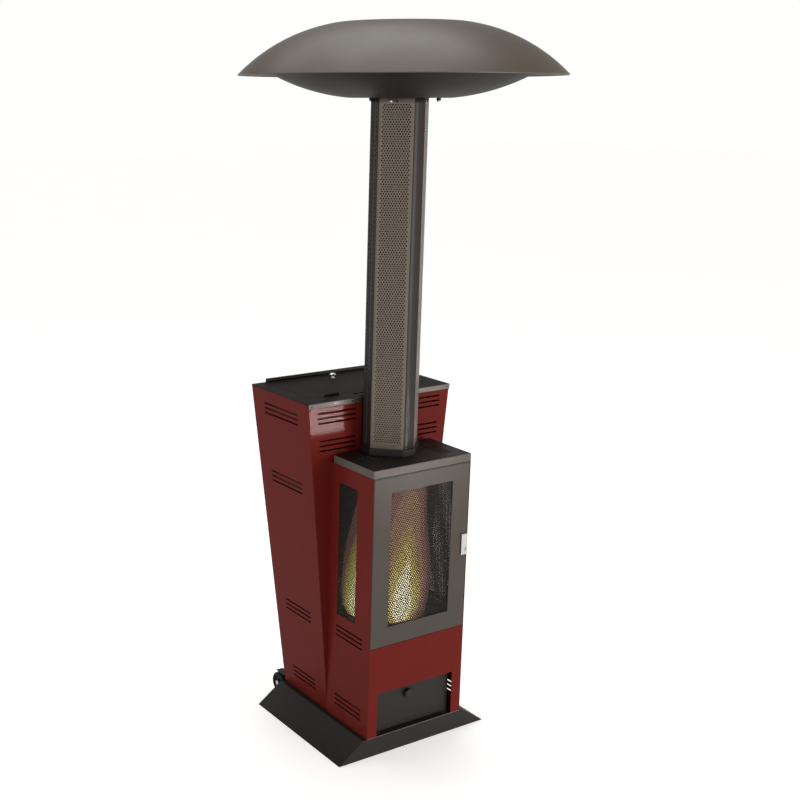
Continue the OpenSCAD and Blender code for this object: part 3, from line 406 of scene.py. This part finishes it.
# %% Arrays into a riding piece
def mesh_piece(name, points, polygons, finish, body):
    """Puts corner-index arrays (quads or triangles) and points into one riding object."""
    mesh = bpy.data.meshes.new(name)
    corners = np.concatenate([p.ravel() for p in polygons]).astype(np.int32)
    sizes = np.concatenate([np.full(len(p), p.shape[1]) for p in polygons])
    mesh.vertices.add(len(points))
    mesh.vertices.foreach_set("co", np.asarray(points, np.float32).ravel())
    mesh.loops.add(len(corners))
    mesh.loops.foreach_set("vertex_index", corners)
    mesh.polygons.add(len(sizes))
    mesh.polygons.foreach_set("loop_start", (np.cumsum(sizes) - sizes).astype(np.int32))
    mesh.update(calc_edges=True)
    mesh.validate()
    mesh.materials.append(finish)
    piece = bpy.data.objects.new(name, mesh)
    bpy.context.scene.collection.objects.link(piece)
    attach(piece, body)
    return piece


print("mesh helper ready")

# %% [markdown]
# ## Fine perforation
# The guard and the window screens are punched from sheet with thousands of small holes in
# staggered rows. A texture could fake them, but light through real holes gives the soft,
# slightly restless tone of the real sheet. The sheet is one grid: columns half a pitch apart,
# where each pair of cells around a hole is filled by six quads between the pair's outline
# and a hexagonal hole, and every second row starts half a pitch later.

# %% A pierced sheet as one grid
NEXT = np.roll(np.arange(6), -1)  # the corner that follows each corner of a hexagon


def pierced_layout(columns, starts, rows, hole):
    """Flat layout (u, v) of a punched sheet.

    columns are u places, rows are v places. starts lists the column numbers where a hole's
    pair of cells begins in even rows; odd rows begin one column later and have one hole less
    in each run. A hole is a regular hexagon of the given radius at its pair's middle.
    Where the columns fall instead of rise, the hexagons are mirrored with them.
    Returns points, plain quads, ring quads and hole rims (six corners each).
    """
    n_u = len(columns)
    u, v = np.meshgrid(columns, rows)
    points = np.stack([u.ravel(), v.ravel()], 1)
    runs = np.split(starts, np.flatnonzero(np.diff(starts) != 2) + 1)
    even = np.concatenate(runs)
    odd = np.concatenate([run[:-1] + 1 for run in runs])
    lanes = np.arange(1, len(rows) - 2)
    pairs = np.concatenate([np.stack(np.meshgrid(lanes[k::2], cols), -1).reshape(-1, 2)
                            for k, cols in ((0, even), (1, odd))])
    taken = np.zeros((len(rows) - 1, n_u - 1), bool)
    taken[pairs[:, 0], pairs[:, 1]] = taken[pairs[:, 0], pairs[:, 1] + 1] = True
    i, j = np.nonzero(~taken)
    low = i * n_u + j
    plain = np.stack([low, low + 1, low + n_u + 1, low + n_u], 1)
    base = pairs[:, 0] * n_u + pairs[:, 1]
    outline = base[:, None] + np.array([0, 1, 2, n_u + 2, n_u + 1, n_u])
    turns = np.radians([210, 270, 330, 30, 90, 150])
    middle = np.stack([columns[pairs[:, 1] + 1],
                       (rows[pairs[:, 0]] + rows[pairs[:, 0] + 1]) / 2], 1)
    way = np.sign(columns[1] - columns[0])
    rim_points = middle[:, None] + hole * np.stack([way * np.cos(turns), np.sin(turns)], 1)
    rims = len(points) + np.arange(len(pairs) * 6).reshape(-1, 6)
    points = np.concatenate([points, rim_points.reshape(-1, 2)])
    rings = np.stack([outline, outline[:, NEXT], rims[:, NEXT], rims], 2).reshape(-1, 4)
    return points, plain, rings, rims


def closed_sheet(layout, n_u, n_v, outer, inner):
    """Both skins of a sheet, the walls of its holes and its four edges, as one closed mesh.

    outer and inner turn (u, v) into places; the inner skin has its faces turned round.
    """
    flat, plain, rings, rims = layout
    count = len(flat)
    points = np.concatenate([outer(flat), inner(flat)])
    skin = np.concatenate([plain, rings])
    onward = rims[:, NEXT]
    walls = np.stack([rims, onward, onward + count, rims + count], 2).reshape(-1, 4)
    grid = np.arange(n_u * n_v).reshape(n_v, n_u)
    loop = np.concatenate([grid[0], grid[1:, -1], grid[-1, -2::-1], grid[-2:0:-1, 0]])
    after = np.roll(loop, -1)
    edge = np.stack([loop, loop + count, after + count, after], 1)
    return points, [skin, skin[:, ::-1] + count, walls, edge]


print("pierced sheets ready")

# %% [markdown]
# ## The column's guard
# The guard is an eight-sided tube in two pressed halves. Its broad slanting faces and the
# halves of its side faces are punched, its narrow front and rear faces are plain, and the
# seam runs up the middle of each side face. Each half could be one mesh, but two wings, left
# and right, keep each mesh light. A wing is the flat grid carried along the octagon's
# outline, so its unrolled width is the path's length.

# %% The guard's sizes and a bent path
guard_low, guard_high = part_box("guard_front")
flat_r = -guard_low.x  # from the axis to a flat
narrow = 0.020  # half the width of the plain faces
seam = -guard_high.y  # half the gap between the two halves
sheet = 1.5 * MM
pitch, hole_r = 8.0 * MM, 2.4 * MM
low_border, top_border, side_border = 41 * MM, 14 * MM, 4 * MM
AT_CORNER = 1e-7  # how near a corner a point counts as on it


def follow_path(corners, inset):
    """Maps u along a bent path and v upwards to places.

    The place is moved inwards by inset, at a corner along its mitre. Also gives the u of each
    corner.
    """
    steps = np.diff(corners, axis=0)
    lengths = np.hypot(*steps.T)
    along = steps / lengths[:, None]
    outward = np.stack([along[:, 1], -along[:, 0]], 1)
    at = np.concatenate([[0], np.cumsum(lengths)])
    joint = np.concatenate([outward[:1], outward])
    for k in range(1, len(outward)):
        both = outward[k - 1] + outward[k]
        joint[k] = both / (1 + outward[k - 1] @ outward[k])

    def place(flat):
        face = np.searchsorted(at, flat[:, 0] - 1e-9, side="right") - 1
        face = np.clip(face, 0, len(steps) - 1)
        xy = corners[face] + (flat[:, :1] - at[face][:, None]) * along[face]
        shift = outward[face].copy()
        for k, u in enumerate(at):
            shift[np.abs(flat[:, 0] - u) < AT_CORNER] = joint[k]
        return np.column_stack([xy - inset * shift, flat[:, 1]])

    return place, at


print("guard: from axis to flat", round(flat_r, 4), "seam", round(2 * seam, 4))

# %% [markdown]
# ## Punching a wing
# The holes of a face stand in the middle between its two folds. In the photo the broad faces
# look paler than the narrow ones beside them, as their closely punched surface catches more
# of the room. A second, lighter paint on the faces that slant both ways stands for that.

# %% Punch the guard's wings
PUNCHED_FACES = 2  # a wing's side face and its broad face; a third face is plain
NEARLY_DIAGONAL = 0.45  # on a broad face the normal's x times its y is 0.5


def lanes_of_holes(start, end, border, step):
    """Columns half a pitch apart, centred between two corners, and how many holes fit."""
    count = int((end - start - 2 * border) / step + 1e-6)
    first = (start + end - count * step) / 2
    return first + np.arange(2 * count + 1) * step / 2, count


def punched_wing(name, corners, node):
    """A bent sheet along corners, punched on its first two faces, in place of a CAD node."""
    corners = np.array(corners, float)
    outer, at = follow_path(corners, 0.0)
    inner, _ = follow_path(corners, sheet)
    columns, starts = [at[0]], []
    for face in range(len(at) - 1):
        if face < PUNCHED_FACES:
            lanes, count = lanes_of_holes(at[face], at[face + 1], side_border, pitch)
            starts.append(len(columns) + 2 * np.arange(count))
            columns.extend(lanes)
        columns.append(at[face + 1])
    row = pitch * math.sqrt(3) / 2
    z0, z1 = guard_low.z, guard_high.z
    count = int((z1 - z0 - low_border - top_border) / row)
    rows = np.concatenate([[z0], z0 + low_border + row * np.arange(count + 1), [z1]])
    layout = pierced_layout(np.array(columns), np.concatenate(starts), rows, hole_r)
    points, polygons = closed_sheet(layout, len(columns), len(rows), outer, inner)
    wing = mesh_piece(name, points, polygons, guard_paint, "heater")
    # Painted light: faces that slant both ways wear the paler paint for the light they catch.
    wing.data.materials.append(broad_face_painted_light)
    normals = np.array([face.normal for face in wing.data.polygons])
    diagonal = np.abs(normals[:, 0] * normals[:, 1]) > NEARLY_DIAGONAL
    wing.data.polygons.foreach_set("material_index", diagonal.astype(np.int32))
    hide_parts(node)
    print(name, "holes:", len(layout[3]))


a, c, s = flat_r, narrow, seam
punched_wing("guard_front_left", [(-a, -s), (-a, -c), (-c, -a), (c, -a)], "guard_front")
punched_wing("guard_front_right", [(c, -a), (a, -c), (a, -s)], "guard_front")
punched_wing("guard_rear_right", [(a, s), (a, c), (c, a), (-c, a)], "guard_rear")
punched_wing("guard_rear_left", [(-c, a), (-a, c), (-a, s)], "guard_rear")

# %% [markdown]
# ## The hat
# The hat's dome and bowl are spun from sheet, so they are turned here as smooth surfaces: a
# closed outline of the sheet's section, made of two circular arcs a sheet apart, is carried
# round the flue's axis. Edges over 30 degrees, such as the brim, stay sharp.

# %% Spin the dome and the bowl
def swelling_arc(start, end, swell, count=28):
    """Points of the circular arc from start to end that bulges to the right of its way.

    With a chord of length L and a bulge s, its radius is (L squared / 4 + s squared) / 2 s.
    """
    start, end = np.array(start), np.array(end)
    chord = end - start
    length = np.hypot(*chord)
    normal = np.array([chord[1], -chord[0]]) / length
    radius = (length ** 2 / 4 + swell ** 2) / (2 * swell)
    centre = (start + end) / 2 + normal * (swell - radius)
    turns = [math.atan2(*(p - centre)[::-1]) for p in (start, end)]
    turn = np.linspace(*turns, count)
    return centre + radius * np.stack([np.cos(turn), np.sin(turn)], 1)


def spun(node, outline, steps=192):
    """A closed outline (radius, height) turned round the flue's axis, in place of a CAD node.

    A point of radius r at the turn a lies at (r cos a, r sin a). The corners that meet on the
    axis are welded.
    """
    r, z = np.array(outline).T
    m = len(r)
    turn = np.arange(steps) * 2 * np.pi / steps
    points = np.stack([np.outer(np.cos(turn), r), np.outer(np.sin(turn), r),
                       np.tile(z, (steps, 1))], 2).reshape(-1, 3)
    k, j = np.meshgrid(np.arange(steps), np.arange(m), indexing="ij")
    across, up = (k + 1) % steps, (j + 1) % m
    walls = np.stack([k * m + j, across * m + j, across * m + up, k * m + up], 2)
    walls = walls.reshape(-1, 4)
    piece = mesh_piece(node + "_spun", points, [walls], nodes[node].data.materials[0],
                       body_of_node[node])
    welded = bmesh.new()
    welded.from_mesh(piece.data)
    bmesh.ops.remove_doubles(welded, verts=welded.verts, dist=WELD)
    welded.to_mesh(piece.data)
    welded.free()
    piece.data.shade_smooth()
    piece.data.set_sharp_from_angle(angle=FOLD)
    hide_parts(node)


dome_low, dome_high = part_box("hat_dome")
bowl_low, bowl_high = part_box("hat_bowl")
brim_r, brim_z, dome_top = dome_high.x, dome_low.z + 2 * MM, dome_high.z
flat_dome, flat_bowl = 0.195, 0.149  # radii of the dome's flat top and the bowl's flat foot
dome_swell, bowl_swell = 26 * MM, 15 * MM
bore = 50.3 * MM  # radius of the bowl's hole round the flue
outside = swelling_arc((brim_r, brim_z), (flat_dome, dome_top), dome_swell)
inside = swelling_arc((brim_r - sheet, brim_z), (flat_dome, dome_top - sheet), dome_swell)
spun("hat_dome", [(brim_r, dome_low.z), *outside, (0, dome_top), (0, dome_top - sheet),
                  *inside[::-1], (brim_r - sheet, dome_low.z)])
underside = swelling_arc((flat_bowl, bowl_low.z), (bowl_high.x, bowl_high.z - sheet),
                         bowl_swell)
spun("hat_bowl", [(bore, bowl_low.z), *underside, *(underside + (0, sheet))[::-1],
                  (bore, bowl_low.z + sheet)])
print("hat spun: brim radius", round(brim_r, 3))

# %% [markdown]
# ## Window screens
# Behind each window stands a finely punched steel screen. It is the same grid as the guard,
# laid flat, and the fire shows through it as bright dots. A screen is a plane of width and
# height at two depths. Which of X and Y is its width differs, and where the outer skin would
# face inwards, its columns run the other way.

# %% Punch the window screens
screen_pitch, screen_border = 7.0 * MM, 6 * MM


def flat_screen(node, across, hole, turned=False):
    """A flat punched sheet that fills a CAD screen's box.

    across is the axis of its width, 0 or 1, and the other one is its thickness. turned lets
    the columns run backwards, for the left screen, whose outer skin faces lower X.
    """
    thick = 1 - across
    low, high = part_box(node)
    width = (low[across], high[across])
    lanes, count = lanes_of_holes(*width, screen_border, screen_pitch)
    columns = np.concatenate([[width[0]], lanes, [width[1]]])
    row = screen_pitch * math.sqrt(3) / 2
    rise = int((high.z - low.z - 2 * screen_border) / row)
    first = (low.z + high.z - rise * row) / 2
    rows = np.concatenate([[low.z], first + row * np.arange(rise + 1), [high.z]])
    if turned:
        columns = columns[::-1]
    layout = pierced_layout(columns, 1 + 2 * np.arange(count), rows, hole)

    def skin(depth):
        def place(flat):
            points = np.empty((len(flat), 3))
            points[:, across] = flat[:, 0]
            points[:, thick] = depth
            points[:, 2] = flat[:, 1]
            return points
        return place

    front, back = (low, high) if (thick == 1 or turned) else (high, low)
    points, polygons = closed_sheet(layout, len(columns), len(rows),
                                    skin(front[thick]), skin(back[thick]))
    screen = mesh_piece(node + "_fine", points, polygons, screen_paint, body_of_node[node])
    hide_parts(node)
    print(screen.name, "holes:", len(layout[3]))


flat_screen("door_screen", 0, 2.45 * MM)
flat_screen("side_screen_left", 1, 2.3 * MM, turned=True)
flat_screen("side_screen_right", 1, 2.3 * MM)

# %% [markdown]
# ## Fire
# A wood-pellet flame is a tall teardrop that is white inside, yellow outside and fades to a
# rosy smoke glow above. A volume would render it, slowly and with noise. Nested closed
# teardrops, each a little see-through and glowing in its own colour, blend into a soft flame
# without one.

# %% Flame shells
def glow(name, colour, strength, alpha):
    """A see-through emitter whose brightness ripples with slow noise."""
    fire = Finish(name, shade(colour, 0.02), 1.0, Emission_Strength=strength, Alpha=alpha)
    ripple = fire.noise(14.0, 3.0, 0.6, (1, 1, 0.35))
    fire.feed("Emission Color", fire.tones(ripple, shade(colour, 0.8), shade(colour, 1.0)))
    fire.feed("Specular IOR Level", 0.0)
    return fire.material


def teardrop(name, foot, height, width, lean, fullness, finish):
    """A closed flame shell of revolution round a leaning line.

    Its radius at the share t of its height is width * sin(pi * t ** 0.62) ** fullness *
    (1 - 0.3 t), with three soft lobes that twist upwards, and its middle drifts sideways by
    lean * t squared. Its depth is 0.7 of its width.
    """
    t = np.linspace(0, 1, 29)[1:-1]
    turn = np.linspace(0, 2 * np.pi, 33)[:-1]
    radius = width * np.sin(np.pi * t ** 0.62) ** fullness * (1 - 0.3 * t)
    ripple = 1 + 0.06 * np.sin(3 * turn + 9 * t[:, None])
    x = foot[0] + lean[0] * t[:, None] ** 2 + radius[:, None] * ripple * np.cos(turn)
    y = foot[1] + lean[1] * t[:, None] ** 2 + radius[:, None] * ripple * np.sin(turn) * 0.7
    z = foot[2] + height * t[:, None] + 0 * turn
    points = np.stack([x, y, z], 2).reshape(-1, 3)
    ends = np.array([foot, (foot[0] + lean[0], foot[1] + lean[1], foot[2] + height)])
    n, rings = len(turn), len(t)
    k, j = np.meshgrid(np.arange(rings - 1), np.arange(n), indexing="ij")
    low = (k * n + j).ravel()
    side = (k * n + (j + 1) % n).ravel()
    walls = np.stack([low, side, side + n, low + n], 1)
    j = np.arange(n)
    bottom = np.stack([np.full(n, rings * n), (j + 1) % n, j], 1)
    top = np.stack([np.full(n, rings * n + 1), (rings - 1) * n + j,
                    (rings - 1) * n + (j + 1) % n], 1)
    shell = mesh_piece(name, np.concatenate([points, ends]), [walls, bottom, top],
                       finish, "heater")
    shell.data.shade_smooth()


print("flame helpers ready")

# %% [markdown]
# ## Two flames
# The main flame stands on the pot and leans to the right. Its outer shells are wide and
# faint, its inner ones small and bright. Through the left window the photo shows a slimmer
# flame of the same colours, so five of the glows are used again on a foot nearer that glass.

# %% Nest the shells
pot_low, pot_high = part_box("burn_pot")
fire_foot = (0.008, (pot_low.y + pot_high.y) / 2 - 0.004, pot_high.z - 0.03)
lean, side_lean = (0.022, -0.01), (0.01, 0.0)
flames = {  # colour, strength, opacity, height, width, fullness
    "smoke_glow": ((0.42, 0.21, 0.17), 3.0, 0.18, 0.545, 0.104, 0.2),
    "rosy_glow": ((0.46, 0.24, 0.16), 3.5, 0.20, 0.52, 0.092, 0.22),
    "brown_glow": ((0.52, 0.34, 0.14), 4.0, 0.20, 0.46, 0.080, 0.35),
    "amber_glow": ((0.60, 0.50, 0.10), 3.8, 0.22, 0.345, 0.070, 0.6),
    "olive_glow": ((0.62, 0.66, 0.07), 4.4, 0.26, 0.30, 0.064, 0.75),
    "yellow_glow": ((0.80, 0.84, 0.24), 4.6, 0.30, 0.265, 0.054, 0.9),
    "pale_core": ((0.95, 0.96, 0.80), 7.5, 0.45, 0.235, 0.043, 1.0),
    "white_core": ((0.92, 0.97, 1.0), 11.5, 0.75, 0.205, 0.034, 1.0),
}
for name, (colour, strength, alpha, height, width, fullness) in flames.items():
    teardrop(name, fire_foot, height, width, lean, fullness,
             glow(name, colour, strength, alpha))
side_foot, side_fullness = (-0.118, 0.008, pot_high.z - 0.004), 0.9
side_flames = {"rosy_glow": (0.42, 0.056), "amber_glow": (0.31, 0.048),
               "olive_glow": (0.27, 0.040), "yellow_glow": (0.23, 0.032),
               "pale_core": (0.18, 0.022)}  # height, width
for name, (height, width) in side_flames.items():
    teardrop("side_" + name, side_foot, height, width, side_lean, side_fullness,
             bpy.data.materials[name])
print("flame shells:", len(flames) + len(side_flames))

# %% [markdown]
# ## Embers in the pot
# Pellets burn in a heap. About a hundred short rods lie in the pot in fixed, seeded places,
# and glow orange in patches. Each is a little six-sided rod, all in one mesh.

# %% Heap the pellets
rod_r, pellet_count = 3 * MM, 110


def pellet_heap(name, centre, spread, count, finish, seed=3):
    """Short six-sided rods at seeded places and turns inside a shallow heap.

    A rod's corner is its middle plus r cos(a) across, r sin(a) up and half its length along.
    Half its length is 5 to 10 mm.
    """
    draw = np.random.default_rng(seed)
    radial = np.sqrt(draw.random(count))
    angle = draw.random(count) * 2 * np.pi
    middle = np.stack([centre[0] + spread[0] * radial * np.cos(angle),
                       centre[1] + spread[1] * radial * np.sin(angle),
                       centre[2] + spread[2] * (1 - radial ** 2) * draw.random(count)], 1)
    heading, tilt = draw.random(count) * np.pi, (draw.random(count) - 0.5) * 0.7
    along = np.stack([np.cos(heading) * np.cos(tilt), np.sin(heading) * np.cos(tilt),
                      np.sin(tilt)], 1)
    across = np.stack([-np.sin(heading), np.cos(heading), 0 * heading], 1)
    up = np.cross(along, across)
    a = (np.arange(6) * np.pi / 3)[None, :, None]
    ring = rod_r * (np.cos(a) * across[:, None] + np.sin(a) * up[:, None])
    half_length = (5 + 5 * draw.random(count)) * MM
    ends = half_length[:, None, None] * along[:, None]
    points = np.concatenate([middle[:, None] + ring - ends, middle[:, None] + ring + ends], 1)
    base = 12 * np.arange(count)[:, None]
    j = np.arange(6)
    sides = np.stack([base + j, base + NEXT, base + NEXT + 6, base + j + 6], 2).reshape(-1, 4)
    caps = np.concatenate([base + j[::-1], base + 6 + j])
    mesh_piece(name, points.reshape(-1, 3), [sides, caps], finish, "heater")


ember = Finish("glowing_pellets", (0.25, 0.10, 0.04), 0.9, Emission_Strength=3.0)
heat = ember.noise(70.0, 3.0)
ember.feed("Emission Color", ember.node("ValToRGB", {"stops": [
    (0.40, (0.02, 0.0, 0.0)), (0.55, (0.9, 0.18, 0.02)), (0.70, (1.0, 0.62, 0.18))]}, {0: heat}))
pellet_heap("ember_heap", (0, fire_foot[1], pot_high.z - 0.045), (0.042, 0.032, 0.03),
            pellet_count, ember.material)
print("pellets in the pot:", pellet_count)

# %% [markdown]
# ## Small screws
# Small dark screws sit on the door, the trim and the cap. A screw is too small for its drive
# to show in the photo, so a head is a dome of revolution with a dimple, and all heads of one
# place are one mesh: the same dome's points, added to each place by broadcasting.

# %% Screw heads, and two on the door
FORWARD, UPWARD = (0, -1, 0), (0, 0, 1)
dark_screw = worked_steel("dark_screw", (0.05, 0.045, 0.04), 0.4, (1, 1, 1))


def dome_heads(name, places, axis, radius, rise, body):
    """Round screw heads: profile r = R cos(s), h = H sin(s) with a dimple, round an axis."""
    places = np.array(places, float)
    axis = np.array(axis, float)
    s = np.linspace(0, np.pi / 2, 5)
    r = np.concatenate([[radius], radius * np.cos(s[1:-1]), [radius * 0.35, radius * 0.25]])
    h = np.concatenate([[0], rise * np.sin(s[1:-1]), [rise, rise * 0.55]])
    side = np.cross(axis, (0.3, 0.5, 0.81))
    side /= np.linalg.norm(side)
    other = np.cross(axis, side)
    m, n = len(r), 16
    turn = np.arange(n) * 2 * np.pi / n
    ring = np.cos(turn)[:, None] * side + np.sin(turn)[:, None] * other
    shape = r[:, None, None] * ring + h[:, None, None] * axis
    one = np.concatenate([shape.reshape(-1, 3), [[0, 0, 0], h[-1] * axis]])
    k, j = np.meshgrid(np.arange(m - 1), np.arange(n), indexing="ij")
    low, nxt = (k * n + j).ravel(), (k * n + (j + 1) % n).ravel()
    walls = np.stack([low, nxt, nxt + n, low + n], 1)
    j = np.arange(n)
    foot = np.stack([np.full(n, m * n), (j + 1) % n, j], 1)
    top = np.stack([np.full(n, m * n + 1), (m - 1) * n + j,
                    (m - 1) * n + (j + 1) % n], 1)
    points = (places[:, None] + one).reshape(-1, 3)
    shift = (len(one) * np.arange(len(places)))[:, None, None]
    polygons = [(p[None] + shift).reshape(-1, p.shape[1]) for p in (walls, foot, top)]
    heads = mesh_piece(name, points, polygons, dark_screw, body)
    heads.data.shade_smooth()
    print(name, len(places))


door_low, door_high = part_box("door_frame")
dome_heads("door_screws", [(0, door_low.y, door_high.z - 12 * MM),
                           (0, door_low.y, door_low.z + 26 * MM)],
           FORWARD, 3.5 * MM, 1.2 * MM, "door")

# %% [markdown]
# ## The deck's trim
# A pale strip runs along the deck's front edge on both sides of the flue channel, held by
# four small screws. A plain bar would look cut, so its section is a flat bulge with soft
# edges, carried along X and closed by a cap at each end.

# %% Trim strips with their screws
deck_low, deck_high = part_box("hopper_deck")
trim_y, trim_depth = deck_low.y, 0.7 * MM
trim_low, trim_middle, trim_top = (deck_low.z + up * MM for up in (1, 9, 17))
trim_start, trim_end = 73.7 * MM, deck_high.x - 1.6 * MM  # distances from the middle


def trim_strip(name, x0, x1, z0, z1):
    """A thin pressed strip on the deck's front skirt, from x0 to x1 and from z0 to z1.

    Its section bulges forwards by depth * sin(s) ** 0.35 at the height that cos(s) gives.
    """
    s = np.linspace(0, np.pi, 9)
    bulge = np.stack([-trim_depth * np.sin(s) ** 0.35,
                      (z0 + z1) / 2 - (z1 - z0) / 2 * np.cos(s)], 1)
    profile = np.concatenate([[(0, z0)], bulge[1:-1], [(0, z1)]])
    n = len(profile)
    both = [np.column_stack([np.full(n, x), trim_y + profile[:, 0], profile[:, 1]])
            for x in (x0, x1)]
    j = np.arange(n)
    nxt = (j + 1) % n
    sides = np.stack([j, j + n, nxt + n, nxt], 1)
    mesh_piece(name, np.concatenate(both), [sides, j[None], j[None, ::-1] + n], trim_and_highlight_paint,
               "heater")
    print(name, "length", round(x1 - x0, 3))


trim_strip("deck_trim_left", -trim_end, -trim_start, trim_low, trim_top)
trim_strip("deck_trim_right", trim_start, trim_end, trim_low, trim_top)
dome_heads("trim_screws", [(x, trim_y - trim_depth, trim_middle)
                           for x in (-0.268, -0.115, 0.115, 0.268)],
           FORWARD, 2.6 * MM, 0.9 * MM, "heater")

# %% [markdown]
# ## Small plates
# A dark strip under the rear rail is painted shadow: it closes the slit there, so no light
# shows through, and stands for the shade under the rail. A plate in each corner of the deck's
# cut-out that the guard's slanting faces leave free closes a slit that would let light
# through. A bright strip along the foot of the lower front panel is a painted highlight on
# that edge. Each is a flat plate, so one helper raises an outline between two heights.

# %% Painted rail shadow, painted sill highlight and gap covers
def prism(name, outline, z0, z1, finish):
    """A flat plate: an anticlockwise outline (x, y) between two heights."""
    n = len(outline)
    points = [(x, y, z) for z in (z0, z1) for x, y in outline]
    j = np.arange(n)
    nxt = (j + 1) % n
    sides = np.stack([j, nxt, nxt + n, j + n], 1)
    mesh_piece(name, points, [sides, j[None, ::-1], j[None] + n], finish, "heater")
    print(name, "thickness", round(z1 - z0, 4))


def rectangle(x0, x1, y0, y1):
    """Anticlockwise corners of a rectangle."""
    return [(x0, y0), (x1, y0), (x1, y1), (x0, y1)]


rail_low, rail_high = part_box("rear_rail")
rail_foot, rail_inset, rail_gap = 14 * MM, 1 * MM, 3 * MM
# Painted shadow: a dark strip in the slit under the rear rail.
prism("rail_painted_shadow", rectangle(rail_low.x + rail_foot, rail_high.x - rail_foot,
                             rail_low.y + rail_inset, rail_high.y - rail_inset),
      trim_top, rail_low.z + rail_gap, deck_paint)
panel_low, panel_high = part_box("lower_front_panel")
# Painted highlight: a bright strip along the foot of the lower front panel, for the light on
# that edge.
prism("sill_painted_highlight", rectangle(panel_low.x, panel_high.x, panel_low.y - trim_depth, panel_low.y),
      panel_low.z + 0.1 * MM, panel_low.z + 1.5 * MM, trim_and_highlight_paint)

cover_front, cover_back, cover_side = 49.2 * MM, 92.0 * MM, 73.5 * MM
slant_front, slant_back = 65.3 * MM, 22.5 * MM  # X of the ends of the edge by the guard
# The box of the deck ends at the lid's hinge barrels, 7.5 mm above its sheet of 3 mm.
cover_low, cover_high = deck_high.z - 10.3 * MM, deck_high.z - 7.7 * MM
for name, side in (("gap_cover_left", -1), ("gap_cover_right", 1)):
    cover = [(side * cover_side, cover_front), (side * slant_front, cover_front),
             (side * slant_back, cover_back), (side * cover_side, cover_back)]
    prism(name, cover[::-side], cover_low, cover_high, deck_paint)

# %% [markdown]
# ## The cap's screws
# Four screws hold the cabinet's cap, one near each corner. They are the same heads again,
# with their axis upwards.

# %% Screws on the cap
cap_low, cap_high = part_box("cap")
cap_screw_x, cap_screw_inset = 0.172, 0.02
dome_heads("cap_screws", [(x, y, cap_high.z) for x in (-cap_screw_x, cap_screw_x)
                          for y in (cap_low.y + cap_screw_inset, cap_high.y - cap_screw_inset)],
           UPWARD, 3.0 * MM, 1.2 * MM, "heater")

# %% [markdown]
# ## Floor
# The heater stands on a pale floor that runs far past the picture. A bigger lamp would whiten
# it and the heater too, so the floor glows a little by itself, as a lit white cloth does.

# %% The pale floor
half = 40.0  # metres from the middle to the floor's edge
floor_mesh = bpy.data.meshes.new("studio_floor")
floor_mesh.from_pydata([(-half, -half, 0), (half, -half, 0), (half, half, 0), (-half, half, 0)],
                       [], [(0, 1, 2, 3)])
floor = bpy.data.objects.new("studio_floor", floor_mesh)
bpy.context.scene.collection.objects.link(floor)
ground = Finish("pale_floor", (0.80, 0.795, 0.785), 0.7, Emission_Strength=0.405)
ground.feed("Emission Color", (1.0, 0.99, 0.98, 1))
ground.feed("Base Color", ground.tones(ground.noise(2.0, 4.0), (0.79, 0.785, 0.775),
                                       (0.81, 0.805, 0.795)))
ground.feed("Specular IOR Level", 0.1)
floor_mesh.materials.append(ground.material)
print("floor side:", 2 * half, "m")

# %% [markdown]
# ## Room
# The room is white up to a little over eye level and dims overhead. That keeps the backdrop
# clean while the dark paints, which mirror the room above, stay dark. The picture's tones are
# shown as they are, without a film's curve.

# %% The room's walls
room = bpy.data.worlds.new("studio_room")
wall = Wiring(room, "Background")
upward = wall.node("SeparateXYZ", {}, {0: wall.node("TexCoord", out="Generated")}, out=2)
wall.feed("Color", wall.node("ValToRGB", {"stops": [
    (0.10, (1.0, 0.998, 0.992)), (0.26, (0.32, 0.315, 0.31))]}, {0: upward}))
wall.feed("Strength", 1.0)
bpy.context.scene.world = room
bpy.context.scene.view_settings.view_transform = "Standard"
print("room set")

# %% [markdown]
# ## Lamps
# A very soft sun from behind lets the heater's shadow fall forward. A card at the front right
# is the key light, a tall card behind the viewer gives the guard its quiet gloss, and one
# overhead lights the hat. A small card low on the right mirrors as a pale patch in the
# hopper's lacquer.

# %% A sun and four cards
def aimed(name, kind, place, target, energy, **settings):
    """A lamp at a place that looks at a target."""
    lamp = bpy.data.lights.new(name, kind)
    lamp.energy = energy
    for key, value in settings.items():
        setattr(lamp, key, value)
    holder = bpy.data.objects.new(name, lamp)
    holder.location = place
    aim = np.array(target, float) - np.array(place, float)
    across = math.hypot(aim[0], aim[1])
    holder.rotation_euler = (math.atan2(across, -aim[2]), 0,
                             math.atan2(aim[1], aim[0]) - math.pi / 2)
    holder.visible_camera = False
    bpy.context.scene.collection.objects.link(holder)
    print(name, energy)


aimed("soft_sun", "SUN", (0.5, 2.0, 4.5), (0, 0, 0), 1.38, angle=math.radians(60))
aimed("key_card", "AREA", (1.8, -4.2, 1.3), (0, 0, 0.9), 142, shape="SQUARE", size=2.2)
aimed("card_behind_viewer", "AREA", (-3.15, -2.46, 1.0), (0, 0, 1.4), 38,
      shape="RECTANGLE", size=0.8, size_y=2.2)
aimed("card_overhead", "AREA", (0.3, 0.2, 5.2), (0, 0, 2.2), 45, shape="SQUARE", size=3.0)
aimed("gloss_card", "AREA", (1.40, -2.335, 0.29), (-0.250, 0.052, 1.06), 0.15,
      shape="RECTANGLE", size=0.42, size_y=0.22, spread=math.radians(8))
